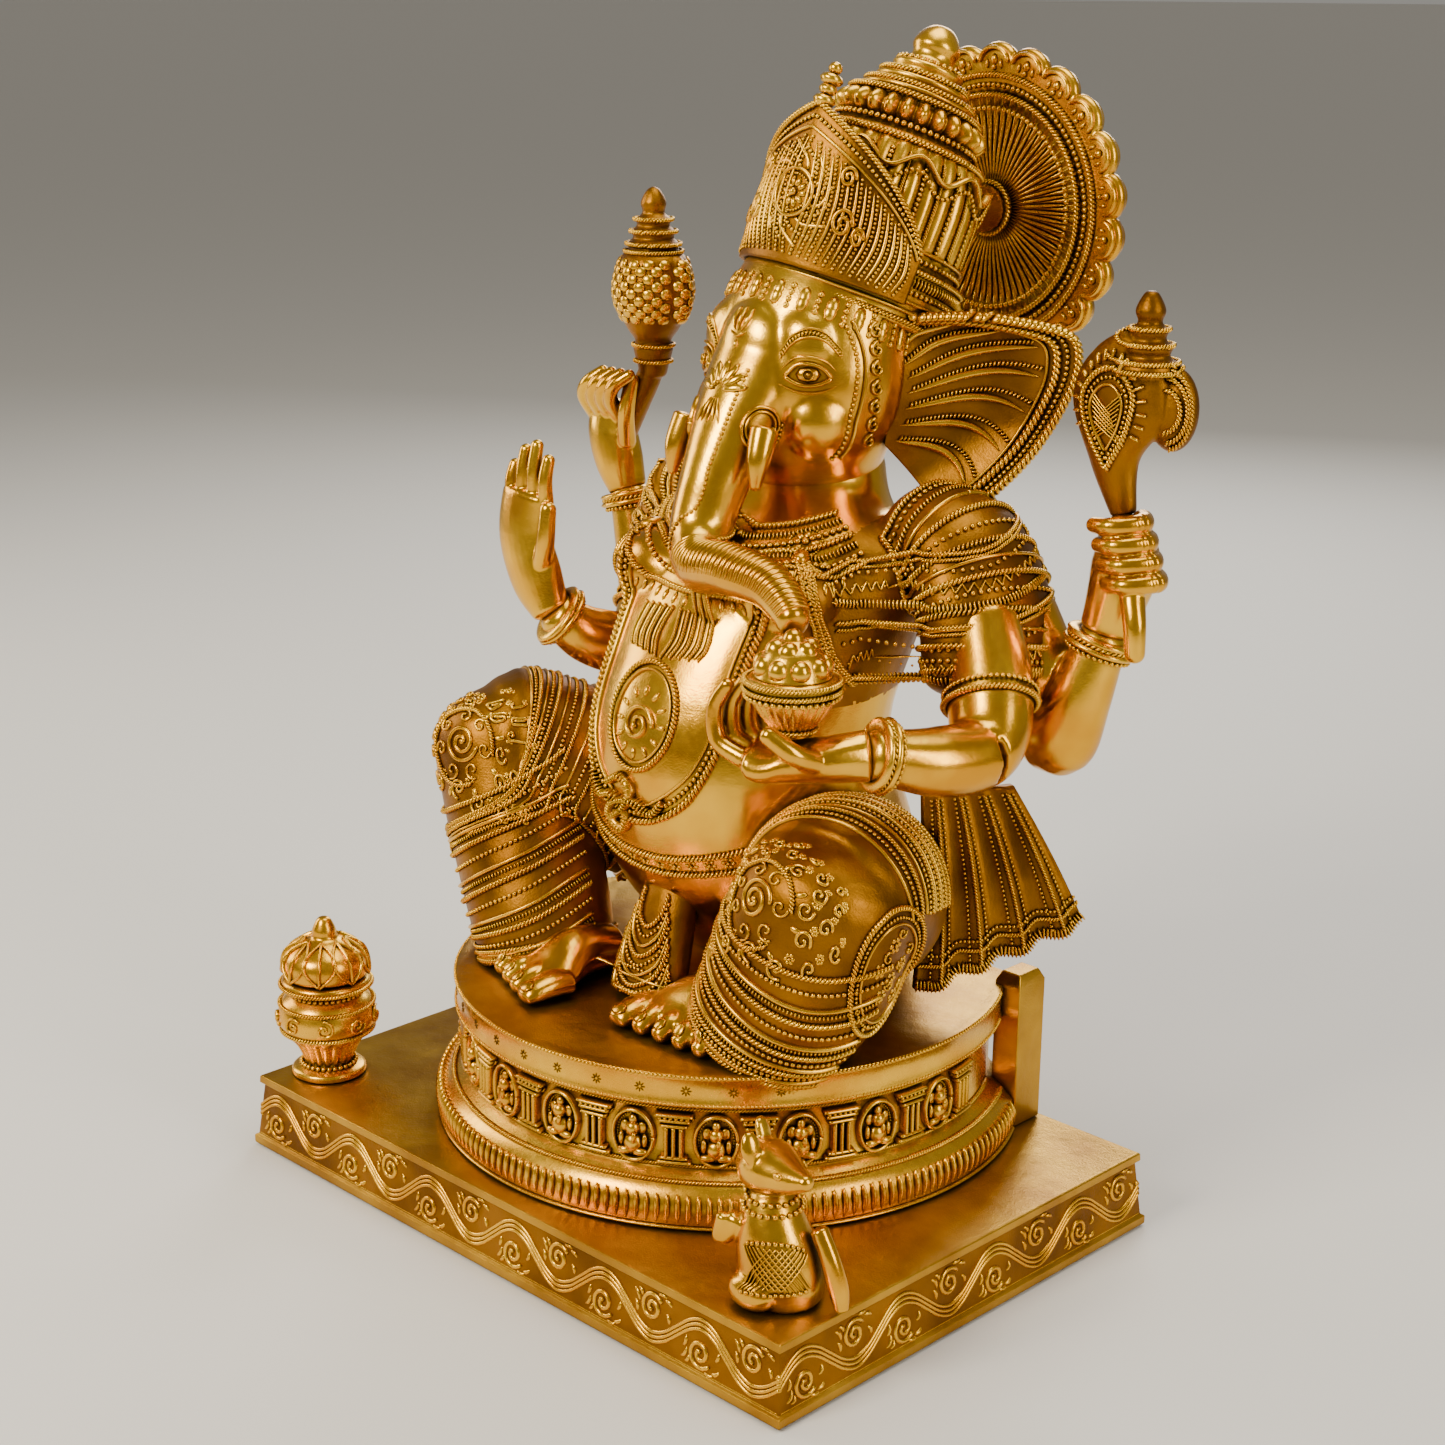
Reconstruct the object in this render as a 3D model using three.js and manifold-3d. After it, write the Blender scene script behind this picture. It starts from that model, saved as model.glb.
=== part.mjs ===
// Seated four-armed elephant-headed figure in cast brass, on a stepped base with a mouse and a filled pot.
// Millimetres, +Z up. The origin is the centre of the base plate's underside; the figure faces -Y and its
// own left side is +X. Large castings are hollow and open towards the piece they are fixed to.
import * as THREE from 'three';
import { mergeVertices } from 'three/addons/utils/BufferGeometryUtils.js';
import Module from 'manifold-3d';

const wasm = await Module();
wasm.setup();

// ---- driving dimensions -------------------------------------------------------------------------------
const GAP = 0.3;              // clearance left at every brazed or bolted joint
const PLATE = { width: 350, depth: 240, height: 37, flare: 3.8, lip: 5, wall: 3.5, boss: 15 };
const DRUM = { centreY: 28, footR: 138, friezeR: 124, footTop: 58, friezeTop: 91, wall: 5 };
const DECK = { radius: 129.5, bottom: 101, top: 106, overhangY: 2 };
const POST = { x0: 104, x1: 119, y0: 99, y1: 118, top: 113, bevel: 6 };
const CAST_WALL = 4;          // wall of the hollow castings
const SCREW = { shank: 3, head: 5.5, headHeight: 4, clearance: 0.35 };
const CROWN = { base: [9, 92, 420], tip: [21, 138, 535] };
const HALO = { centre: [18, 182, 452], radius: 76, rim: 62, petals: 22, thickness: 6 };
const MOUSE_AT = [150, -94, PLATE.height];
const POT_AT = [-157, -93, PLATE.height];

// ---- materials ----------------------------------------------------------------------------------------
const brass = () => new THREE.MeshStandardMaterial({ color: 0xb9862c, roughness: 0.3, metalness: 1 });
const brassDark = () => new THREE.MeshStandardMaterial({ color: 0x8a5f1c, roughness: 0.42, metalness: 1 });
const steel = () => new THREE.MeshStandardMaterial({ color: 0x9a9c9e, roughness: 0.35, metalness: 1 });

// ---- solids -------------------------------------------------------------------------------------------
// A closed three.js geometry becomes a solid; its triangles are turned outwards first.
function solidOf(geometry) {
  const plain = new THREE.BufferGeometry();
  plain.setAttribute('position', geometry.getAttribute('position').clone());
  if (geometry.index) plain.setIndex(geometry.index.clone());
  const merged = mergeVertices(plain, 1e-4);
  const spots = merged.getAttribute('position');
  const corner = (i) => new THREE.Vector3().fromBufferAttribute(spots, i);
  const faces = [];
  let volume = 0;
  for (let i = 0; i < merged.index.count; i += 3) {
    const [a, b, c] = [0, 1, 2].map((k) => merged.index.getX(i + k));
    if (a === b || b === c || c === a) continue;
    faces.push([a, b, c]);
    volume += corner(a).dot(corner(b).cross(corner(c)));
  }
  const triVerts = new Uint32Array(faces.flatMap(([a, b, c]) => (volume < 0 ? [a, c, b] : [a, b, c])));
  const vertProperties = new Float32Array(spots.array);
  return new wasm.Manifold(new wasm.Mesh({ numProp: 3, vertProperties, triVerts }));
}

function geometryOf(solid) {
  const mesh = solid.getMesh();
  const geometry = new THREE.BufferGeometry();
  geometry.setAttribute('position', new THREE.BufferAttribute(new Float32Array(mesh.vertProperties), 3));
  geometry.setIndex(new THREE.BufferAttribute(new Uint32Array(mesh.triVerts), 1));
  geometry.computeVertexNormals();
  return geometry;
}

const union = (solids) => solids.reduce((whole, piece) => whole.add(piece));
const cut = (solid, ...tools) => tools.reduce((rest, tool) => rest.subtract(tool), solid);
const mainBody = (solid) => solid.decompose().sort((a, b) => b.volume() - a.volume())[0];

function place(group, name, solid, material, position = [0, 0, 0]) {
  const mesh = new THREE.Mesh(geometryOf(solid), material);
  mesh.name = name;
  mesh.position.set(...position);
  group.add(mesh);
  return mesh;
}

// Value of a smooth curve through evenly spaced numbers, at parameter t counted in intervals.
function smooth(values, t) {
  const last = values.length - 1;
  const i = Math.min(Math.floor(t), last - 1);
  const f = t - i;
  const [p0, p1, p2, p3] = [-1, 0, 1, 2].map((k) => values[Math.min(Math.max(i + k, 0), last)]);
  return p1 + 0.5 * f * (p2 - p0 + f * (2 * p0 - 5 * p1 + 4 * p2 - p3 + f * (3 * (p1 - p2) + p3 - p0)));
}

// Closed body around a bent spine. Each station is [x, y, z, halfWidth, halfDepth]; halfWidth is measured
// along `side`, halfDepth across it. The ends are domed by a share of their smaller half size.
function loft(stations, options = {}) {
  const { around = 12, rings = 8, side = [1, 0, 0], grow = 0, domes = [0.5, 0.5],
      domeSteps = 2 } = options;
  const columns = [0, 1, 2, 3, 4].map((k) => stations.map((station) => station[k]));
  const spans = stations.length - 1;
  const spot = (t) => new THREE.Vector3(...columns.slice(0, 3).map((list) => smooth(list, t)));
  const across = new THREE.Vector3(...side);
  const circles = [];
  const circle = (t, shift, scale) => {
    const step = 0.01;
    const along = spot(Math.min(t + step, spans)).sub(spot(Math.max(t - step, 0))).normalize();
    const s = across.clone().addScaledVector(along, -across.dot(along)).normalize();
    const f = along.clone().cross(s);
    const centre = spot(t).addScaledVector(along, shift);
    const width = (smooth(columns[3], t) + grow) * scale;
    const depth = (smooth(columns[4], t) + grow) * scale;
    circles.push({ centre, s, f, width, depth });
  };
  const domeLength = (t, share) => share * Math.min(smooth(columns[3], t), smooth(columns[4], t)) + grow;
  for (let k = 0; k < domeSteps; k += 1) {
    const angle = (Math.PI / 2) * (1 - k / domeSteps);
    circle(0, -domeLength(0, domes[0]) * Math.sin(angle), Math.cos(angle));
  }
  for (let k = 0; k <= rings; k += 1) circle((spans * k) / rings, 0, 1);
  for (let k = domeSteps - 1; k >= 0; k -= 1) {
    const angle = (Math.PI / 2) * (1 - k / domeSteps);
    circle(spans, domeLength(spans, domes[1]) * Math.sin(angle), Math.cos(angle));
  }
  const positions = [];
  const index = [];
  const inner = circles.slice(1, -1);
  for (const { centre, s, f, width, depth } of inner) {
    for (let k = 0; k < around; k += 1) {
      const angle = (2 * Math.PI * k) / around;
      const point = centre.clone().addScaledVector(s, width * Math.cos(angle));
      positions.push(...point.addScaledVector(f, depth * Math.sin(angle)).toArray());
    }
  }
  const first = inner.length * around;
  positions.push(...circles[0].centre.toArray(), ...circles[circles.length - 1].centre.toArray());
  for (let k = 0; k < around; k += 1) {
    const next = (k + 1) % around;
    index.push(first, next, k);
    for (let j = 0; j < inner.length - 1; j += 1) {
      const [a, b] = [j * around + k, j * around + next];
      index.push(a, b, b + around, a, b + around, a + around);
    }
    const end = (inner.length - 1) * around;
    index.push(first + 1, end + k, end + next);
  }
  const geometry = new THREE.BufferGeometry();
  geometry.setAttribute('position', new THREE.Float32BufferAttribute(positions, 3));
  geometry.setIndex(index);
  return solidOf(geometry);
}

// Closed curved plate: spot(u, v, w) gives a point for u, v in 0..1 and w = 0 (inner) or 1 (outer face).
function plate(spot, across, along) {
  const positions = [];
  const index = [];
  const at = (i, j, w) => w * (across + 1) * (along + 1) + j * (across + 1) + i;
  for (const w of [0, 1]) {
    for (let j = 0; j <= along; j += 1) {
      for (let i = 0; i <= across; i += 1) positions.push(...spot(i / across, j / along, w));
    }
  }
  const quad = (a, b, c, d) => index.push(a, b, c, a, c, d);
  for (let j = 0; j < along; j += 1) {
    for (let i = 0; i < across; i += 1) {
      quad(at(i, j, 1), at(i + 1, j, 1), at(i + 1, j + 1, 1), at(i, j + 1, 1));
      quad(at(i, j, 0), at(i, j + 1, 0), at(i + 1, j + 1, 0), at(i + 1, j, 0));
    }
    quad(at(0, j, 0), at(0, j, 1), at(0, j + 1, 1), at(0, j + 1, 0));
    quad(at(across, j, 0), at(across, j + 1, 0), at(across, j + 1, 1), at(across, j, 1));
  }
  for (let i = 0; i < across; i += 1) {
    quad(at(i, 0, 0), at(i + 1, 0, 0), at(i + 1, 0, 1), at(i, 0, 1));
    quad(at(i, along, 0), at(i, along, 1), at(i + 1, along, 1), at(i + 1, along, 0));
  }
  const geometry = new THREE.BufferGeometry();
  geometry.setAttribute('position', new THREE.Float32BufferAttribute(positions, 3));
  geometry.setIndex(index);
  return solidOf(geometry);
}

// Turned body about +Z from [radius, height] points that start and end on the axis or close on themselves.
function turned(profile, around = 24) {
  const points = profile.map(([radius, height]) => new THREE.Vector2(radius, height));
  return solidOf(new THREE.LatheGeometry(points, around).rotateX(Math.PI / 2));
}

function extruded(outline, bottom, top) {
  const shape = new THREE.Shape(outline.map(([x, y]) => new THREE.Vector2(x, y)));
  const body = new THREE.ExtrudeGeometry(shape, { depth: top - bottom, bevelEnabled: false });
  return solidOf(body.translate(0, 0, bottom));
}

function block([x0, y0, z0], [x1, y1, z1]) {
  const box = new THREE.BoxGeometry(x1 - x0, y1 - y0, z1 - z0);
  return solidOf(box.translate((x0 + x1) / 2, (y0 + y1) / 2, (z0 + z1) / 2));
}

function ball([x, y, z], [a, b, c], detail = 8) {
  const sphere = new THREE.SphereGeometry(1, detail, Math.round(detail * 0.7));
  return solidOf(sphere.rotateX(Math.PI / 2).scale(a, b, c).translate(x, y, z));
}

const mirrored = (stations) => stations.map(([x, ...rest]) => [-x, ...rest]);
const below = (height) => block([-400, -400, -400], [400, 400, height]);
const above = (height) => block([-400, -400, height], [400, 400, 900]);

// Stations of the core inside a hollow casting.
const core = (stations) => stations.map(([x, y, z, a, b]) => [x, y, z, a - CAST_WALL, b - CAST_WALL]);

// Body grown by about the joint clearance in every direction, to cut its neighbour with.
const swollen = (solid) => union([solid, ...[-GAP, GAP].flatMap((d) =>
  [solid.translate([d, 0, 0]), solid.translate([0, d, 0]), solid.translate([0, 0, d])])]);
const cylinder = (radius, bottom, top, around = 10) =>
  turned([[0, bottom], [radius, bottom], [radius, top], [0, top]], around);

// ---- base plate ---------------------------------------------------------------------------------------
const PEDESTAL_SCREWS = [[92, -52], [-92, -52], [88, 84], [-88, 84]];
const POT_SCREW = [POT_AT[0], POT_AT[1]];
const MOUSE_SCREW = [MOUSE_AT[0], MOUSE_AT[1]];
const SLAB_BOTTOM = PLATE.height - PLATE.wall;

function basePlate() {
  const half = [PLATE.width / 2, PLATE.depth / 2];
  const corner = ([i, j], grow) => [i * (half[0] + grow), j * (half[1] + grow)];
  const quadrants = [[-1, -1], [1, -1], [1, 1], [-1, 1]];
  const body = plate((u, v, w) => {
    const flare = w ? 0 : PLATE.flare;
    return [(2 * u - 1) * (half[0] + flare), (2 * v - 1) * (half[1] + flare),
        w ? PLATE.height : PLATE.lip];
  }, 1, 1);
  const foot = extruded(quadrants.map((q) => corner(q, PLATE.flare)), 0, PLATE.lip);
  const inside = PLATE.wall;
  const hollow = block(
    [-half[0] + inside, -half[1] + inside, -1],
    [half[0] - inside, half[1] - inside, SLAB_BOTTOM],
  );
  const holes = [...PEDESTAL_SCREWS, POT_SCREW, MOUSE_SCREW].map(([x, y]) =>
    cylinder(SCREW.shank + SCREW.clearance, SLAB_BOTTOM - 2, PLATE.height + 2).translate([x, y, 0]));
  return cut(union([body, foot]), hollow, ...holes);
}

// Round boss brazed under the middle of the plate; it stands level with the rim and carries the centre.
const baseBoss = () => cylinder(PLATE.boss, 0, SLAB_BOTTOM - GAP, 20);

// Screw with its head under `seat`, driven upwards for `length`.
function screw(seat, length) {
  const { shank, head, headHeight } = SCREW;
  const bottom = seat - headHeight - GAP;
  return turned([
    [0, bottom], [head, bottom], [head, seat - GAP], [shank, seat - GAP], [shank, seat + length],
    [0, seat + length],
  ], 8);
}

// ---- pedestal -----------------------------------------------------------------------------------------
// Plan of the drum: a round front closed by a straight back, with a square post at each rear corner.
function drumPlan(radius, backY, shrink = 0) {
  const steps = 24;
  const reach = backY - shrink - DRUM.centreY;
  const end = Math.asin(reach / (radius - shrink));
  const plan = [];
  for (let k = 0; k <= steps; k += 1) {
    const angle = Math.PI - end + ((Math.PI + 2 * end) * k) / steps;
    const r = radius - shrink;
    plan.push([r * Math.cos(angle), DRUM.centreY + r * Math.sin(angle)]);
  }
  return plan;
}

const DRUM_BACK = 112;
const drumBottom = PLATE.height + GAP;

function pedestalDrum() {
  const foot = extruded(drumPlan(DRUM.footR, DRUM_BACK), drumBottom + 3, DRUM.footTop - 3);
  const tread = extruded(drumPlan(DRUM.footR - 3, DRUM_BACK), drumBottom, DRUM.footTop);
  const wall = extruded(drumPlan(DRUM.friezeR, DRUM_BACK), drumBottom, DECK.bottom - GAP);
  const fascia = extruded(drumPlan(DECK.radius, DRUM_BACK + DECK.overhangY), DRUM.friezeTop,
      DECK.bottom - GAP);
  const posts = [-1, 1].map((sign) => {
    const [x0, x1] = sign > 0 ? [POST.x0, POST.x1] : [-POST.x1, -POST.x0];
    return block([x0, POST.y0, drumBottom], [x1, POST.y1, DECK.bottom - GAP]);
  });
  const hollow = extruded(drumPlan(DRUM.friezeR, DRUM_BACK, DRUM.wall), drumBottom - 1, DECK.bottom + 1);
  const lugHeight = 14;
  const lugs = PEDESTAL_SCREWS.map(([x, y]) =>
    cylinder(11, drumBottom, drumBottom + lugHeight).translate([x, y, 0]));
  const webs = PEDESTAL_SCREWS.map(([x, y]) => {
    const outer = x > 0 ? [x, x + 20] : [x - 20, x];
    return block([outer[0], y - 4, drumBottom], [outer[1], y + 4, drumBottom + lugHeight]);
  });
  const inside = extruded(drumPlan(DRUM.friezeR, DRUM_BACK, 1), drumBottom - 1, DECK.bottom + 1);
  const holes = PEDESTAL_SCREWS.map(([x, y]) =>
    cylinder(SCREW.shank + SCREW.clearance, drumBottom - 1, drumBottom + lugHeight - 3).translate([x,
        y, 0]));
  const shell = cut(union([foot, tread, wall, fascia, ...posts]), hollow);
  return cut(shell.add(union([...lugs, ...webs]).intersect(inside)), ...holes);
}

const IDOL_SCREWS = [[0, 56], [0, 88]];

function pedestalDeck() {
  const slab = extruded(drumPlan(DECK.radius, DRUM_BACK + DECK.overhangY), DECK.bottom, DECK.top);
  const posts = [-1, 1].map((sign) => {
    const inset = POST.bevel;
    return plate((u, v, w) => {
      const [x0, x1] = sign > 0 ? [POST.x0, POST.x1] : [-POST.x1, -POST.x0];
      const taper = w * inset;
      const spanX = x1 - x0 - taper;
      const startX = sign > 0 ? x0 : x0 + taper;
      return [startX + u * spanX, POST.y0 + v * (POST.y1 - POST.y0 - taper * 0.5),
        w ? POST.top : DECK.bottom];
    }, 1, 1);
  });
  const holes = IDOL_SCREWS.map(([x, y]) =>
    cylinder(SCREW.shank + SCREW.clearance, DECK.bottom, DECK.top + 2).translate([x, y, 0]));
  return cut(union([slab, ...posts]), ...holes);
}

// ---- body ---------------------------------------------------------------------------------------------
const NECK = { joint: 342, mouth: 26 };
const TORSO = [
  [0, 78, 104, 60, 38], [0, 70, 135, 76, 52], [0, 53, 162, 78, 62], [0, 38, 190, 74, 68],
  [0, 34, 216, 70, 70], [0, 41, 248, 69, 63], [0, 56, 282, 76, 54], [0, 69, 308, 78, 42],
  [0, 76, 330, 44, 33], [0, 78, 346, 36, 32],
];
const TORSO_FLOOR = 114;
const LEGS = {
  left: {
    thigh: [[50, 66, 146, 34, 38], [78, 26, 164, 42, 44], [98, -8, 174, 43, 43], [102, -20, 174, 38, 38]],
    shin: [[103, -18, 178, 40, 40], [96, -24, 150, 42, 38], [82, -28, 122, 38, 33],
        [76, -29, 104, 35, 30]],
  },
  right: {
    thigh: [[-50, 66, 150, 34, 38], [-82, 32, 174, 40, 44], [-110, -2, 195, 38, 40],
        [-117, -12, 199, 34, 36]],
    shin: [[-117, -10, 199, 34, 36], [-98, -16, 162, 35, 36], [-74, -26, 126, 34, 34],
        [-66, -28, 104, 32, 32]],
  },
};
const limb = { around: 12, rings: 4, side: [0, 1, 0.4], domes: [0.5, 0.6] };
const thighSolid = (leg, grow = 0) => loft(LEGS[leg].thigh, { ...limb, grow });
const shinSolid = (leg, grow = 0) => loft(LEGS[leg].shin, { ...limb, side: [1, 0, 0],
    domes: [0.8, 0.02], grow });
const legSolid = (leg, grow = 0) => thighSolid(leg, grow).add(shinSolid(leg, grow));
const torsoSolid = (grow = 0) => loft(TORSO, { around: 18, rings: 10, grow, domes: [0.02, 0.02] });
const DECK_TOP = DECK.top + GAP;
const aboveDeck = above(DECK_TOP);

// ---- head ---------------------------------------------------------------------------------------------
const HEAD = [
  [0, 80, 338, 33, 30], [2, 72, 360, 44, 40], [4, 71, 380, 48, 46], [5, 76, 402, 47, 44],
  [7, 86, 422, 43, 40], [10, 94, 436, 36, 34],
];
const headSolid = (grow = 0) => loft(HEAD, { around: 16, rings: 7, grow, domes: [0.1, 0.5] });
const TRUNK = [
  [3, 40, 390, 19, 24], [3, 24, 366, 17, 20], [3, 12, 342, 15.5, 16], [4, 2, 320, 14, 14],
  [16, -10, 309, 11.5, 12.5], [42, -18, 312, 11, 10.5], [70, -22, 310, 9.5, 9.5], [91, -29, 300, 7, 8],
];
const trunkSolid = (grow = 0) => loft(TRUNK, { around: 10, rings: 13, side: [0, 1, 0.6],
    grow, domes: [0.2, 0.6] });
const TUSK = [[27, 18, 364, 7, 7], [28, 13, 354, 5.5, 5.5], [28, 13, 343, 2.6, 2.6]];
const tuskSolid = (stations, grow = 0) =>
  loft(stations, { around: 7, rings: 3, side: [1, 0, 0], grow, domes: [0.2, 0.8] });

// Fan-shaped ear: spokes run out and back from the side of the head between a low and a high angle.
const EAR = { x: 45.2, y: 76.4, z: 378, thick: 5, root: 22 };
function ear(sign) {
  const [curl, droop] = sign > 0 ? [44, 1] : [8, 0.6];
  const out = new THREE.Vector3(0.74, 0.67, 0).normalize();
  const normal = new THREE.Vector3(out.y, -out.x, 0);
  const edge = [[30, -56], [50, -42], [68, -24], [80, -4], [86, 14], [82, 28], [58, 34], [34, 36],
      [12, 35]];
  return plate((u, v, w) => {
    const reach = smooth(edge.map((point) => point[0]), u * (edge.length - 1));
    const rise = smooth(edge.map((point) => point[1]), u * (edge.length - 1));
    const along = v * reach;
    const root = EAR.root * (2 * u - 1);
    const high = EAR.z + root + v * (Math.max(rise, rise * droop) - root);
    const cup = 12 * Math.sin(Math.PI * v) * (1 - 0.4 * u);
    const lift = (w - 0.5) * EAR.thick - cup + Math.max(0, 0.3 - u) * curl * v;
    const x = EAR.x + along * out.x + lift * normal.x;
    const y = EAR.y + along * out.y + lift * normal.y;
    return [sign * x, y, high];
  }, 14, 4);
}

// ---- crown --------------------------------------------------------------------------------------------
const crownBase = new THREE.Vector3(...CROWN.base);
const crownAxis = new THREE.Vector3(...CROWN.tip).sub(crownBase).normalize();
const crownHeight = new THREE.Vector3(...CROWN.tip).distanceTo(crownBase);
const crownTurn = new THREE.Quaternion().setFromUnitVectors(new THREE.Vector3(0, 0, 1), crownAxis);
const crownMatrix = new THREE.Matrix4().compose(crownBase, crownTurn, new THREE.Vector3(1, 1, 1));
const intoCrown = (solid) => solidOf(geometryOf(solid).applyMatrix4(crownMatrix.clone().invert()));

const crownBand = () => turned([
  [38.5, -12], [45.5, -12], [47.5, -9], [47.5, 5], [46, 12], [40, 14], [38.5, -12],
], 20);
const CROWN_CORE = 24;
const crownDome = () => turned([
  [CROWN_CORE, 14 + GAP], [42, 14 + GAP], [43.5, 28], [43.5, 44], [41.5, 56], [37, 66], [31, 72],
  [CROWN_CORE, 72], [CROWN_CORE, 14 + GAP],
], 20);
const crownFinial = () => turned([
  [0, 72 + GAP], [31, 72 + GAP], [32.5, 76], [31.5, 82], [26, 86], [26.5, 90], [21, 93], [21.5, 97],
      [15.5, 101],
  [16, 105], [10.5, 108], [9.5, 111], [10.5, 115], [7.5, 120], [2, crownHeight], [0, crownHeight],
], 14);

// Leaf-shaped plate standing against the front of the crown, rising to a point in the middle.
function crownFrontPlate() {
  const reach = 1.2;
  return plate((u, v, w) => {
    const side = 2 * u - 1;
    const angle = -Math.PI / 2 + side * reach;
    const rise = 14 + 54 * (1 - Math.abs(side)) ** 0.62;
    const s = -3 + v * (rise + 3);
    const bulge = 8 * (1 - (1 - v) ** 2) * Math.max(0, 1 - 1.4 * Math.abs(side));
    const radius = 48.3 + w * 4 + bulge;
    return [radius * Math.cos(angle), radius * Math.sin(angle), s];
  }, 12, 2);
}

// ---- halo ---------------------------------------------------------------------------------------------
function haloDisc() {
  const steps = HALO.petals * 2;
  const outline = [];
  for (let k = 0; k < steps; k += 1) {
    const angle = (2 * Math.PI * k) / steps;
    const radius = HALO.radius - (k % 2 ? 0 : 4);
    outline.push([radius * Math.cos(angle), radius * Math.sin(angle)]);
  }
  const disc = extruded(outline, 0, HALO.thickness);
  const dish = cylinder(HALO.rim - 8, HALO.thickness - 2, HALO.thickness + 2, 28);
  return disc.subtract(dish).add(cylinder(9, 0.5, HALO.thickness - 0.5, 20));
}

// ---- arms and hands -----------------------------------------------------------------------------------
const ARM = {
  front_left: [[112, 68, 286, 17, 19], [128, 56, 260, 18, 20], [138, 40, 241, 16, 18],
      [135, 12, 241, 15, 15],
    [124, -14, 247, 11, 11]],
  rear_left: [[112, 94, 286, 17, 18], [128, 96, 256, 17, 18], [138, 92, 236, 17, 18],
      [148, 92, 256, 14, 15],
    [156, 97, 284, 11, 11]],
  front_right: [[-86, 74, 286, 16, 18], [-84, 58, 262, 16, 18], [-80, 42, 246, 16, 16],
      [-86, 18, 252, 14, 14],
    [-93, 3, 264, 10.5, 10.5]],
  rear_right: [[-88, 96, 288, 17, 17], [-116, 102, 258, 16, 16], [-134, 104, 246, 15, 16],
    [-143, 105, 272, 13, 13], [-151, 105, 300, 10.5, 10.5]],
};
const armSolid = (name, grow = 0) =>
  loft(ARM[name], { around: 10, rings: 8, side: [0, 1, 0.15], grow, domes: [0.3, 0.1] });

const CAPE_LEFT = [[62, 84, 320, 20, 26], [86, 84, 313, 25, 32], [104, 80, 290, 25, 34],
    [112, 74, 262, 23, 33]];
const CAPE_RIGHT = [[-58, 86, 320, 20, 26], [-76, 86, 312, 22, 30], [-86, 84, 290, 21, 32],
  [-88, 80, 266, 19, 32]];
const capeSolid = (stations, grow = 0) =>
  loft(stations, { around: 14, rings: 6, side: [0.7, 0, 0.7], grow, domes: [0.4, 0.1] });

const finger = (points, radius) => loft(
  points.map(([x, y, z], k) => [x, y, z, radius * (1 - 0.1 * k), radius * (1 - 0.1 * k)]),
  { around: 5, rings: 3, side: [0.3, 1, 0.2], domes: [0.6, 0.9], domeSteps: 1 },
);

// Open hand raised palm forwards.
function handFrontRight() {
  const palm = loft([[-95, 1, 266, 8, 10], [-104, 0, 280, 9, 16], [-111, -1, 300, 7.5, 17],
      [-109, -1, 320, 6, 16]],
    { around: 8, rings: 3, side: [0, 1, 0], domes: [0.1, 0.4], domeSteps: 1 });
  const tips = [336, 344, 347, 341];
  const fingers = tips.map((tip, k) => {
    const x = -120 + 7.9 * k;
    return finger([[x, 0, 314], [x + 0.5, -1, (314 + tip) / 2], [x + 1, 0.5, tip - 3]], 4.5);
  });
  const thumb = finger([[-98, -2, 286], [-92, -5, 300], [-91, -4, 316]], 5);
  return union([palm, ...fingers, thumb]);
}

// Open hand held palm upwards below the bowl, fingertips curling up on its far side.
function handFrontLeft() {
  const palm = loft([[122, -17, 247, 10, 11], [110, -28, 245, 15, 10], [94, -38, 243, 18, 9],
      [84, -42, 244, 16, 8]],
    { around: 8, rings: 3, side: [0.5, 1, 0], domes: [0.1, 0.5], domeSteps: 1 });
  const fingers = [0, 1, 2, 3].map((k) => {
    const [x, y] = [77 - 1.5 * k, -24 - 8.5 * k];
    return finger([[x + 10, y, 244], [x - 2, y - 3, 250], [x - 4, y - 3, 264], [x + 1, y - 1, 274]], 4.6);
  });
  const thumb = finger([[114, -36, 246], [112, -50, 252], [104, -57, 260]], 5.2);
  return union([palm, ...fingers, thumb]);
}

// Closed hand gripping the stem of the loop, with a drooping fingertip.
function handRearLeft() {
  const palm = loft([[156, 98, 288, 11, 11], [160, 100, 302, 13, 14], [163, 101, 318, 14, 16],
      [160, 102, 332, 10, 12]],
    { around: 8, rings: 3, side: [1, 0, 0], domes: [0.1, 0.5], domeSteps: 1 });
  const rolls = [0, 1, 2, 3].map((k) => {
    const z = 336 - 8 * k;
    const reach = 3 * k;
    return finger([[168 + reach, 104, z], [174 + reach, 94, z + 1], [166 + reach, 84, z],
        [156 + reach, 86, z - 1]], 5.2);
  });
  const drop = finger([[176, 88, 308], [181, 84, 296], [182, 84, 284]], 5.6);
  return union([palm, ...rolls, drop]);
}

// Hand that holds the stem of the bud between raised fingers.
function handRearRight() {
  const palm = loft([[-153, 105, 303, 10, 10], [-158, 104, 316, 11, 14], [-162, 103, 332, 10, 15],
      [-160, 102, 344, 7, 13]],
    { around: 8, rings: 3, side: [0, 1, 0], domes: [0.1, 0.5], domeSteps: 1 });
  const fingers = [0, 1, 2, 3].map((k) => {
    const x = -172 + 6.5 * k;
    return finger([[x, 100, 340], [x + 3, 90, 350], [x + 10, 86, 358], [x + 17, 90, 364]], 4.4);
  });
  const thumb = finger([[-148, 100, 328], [-142, 94, 344], [-140, 96, 360]], 4.8);
  return union([palm, ...fingers, thumb]);
}

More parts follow.
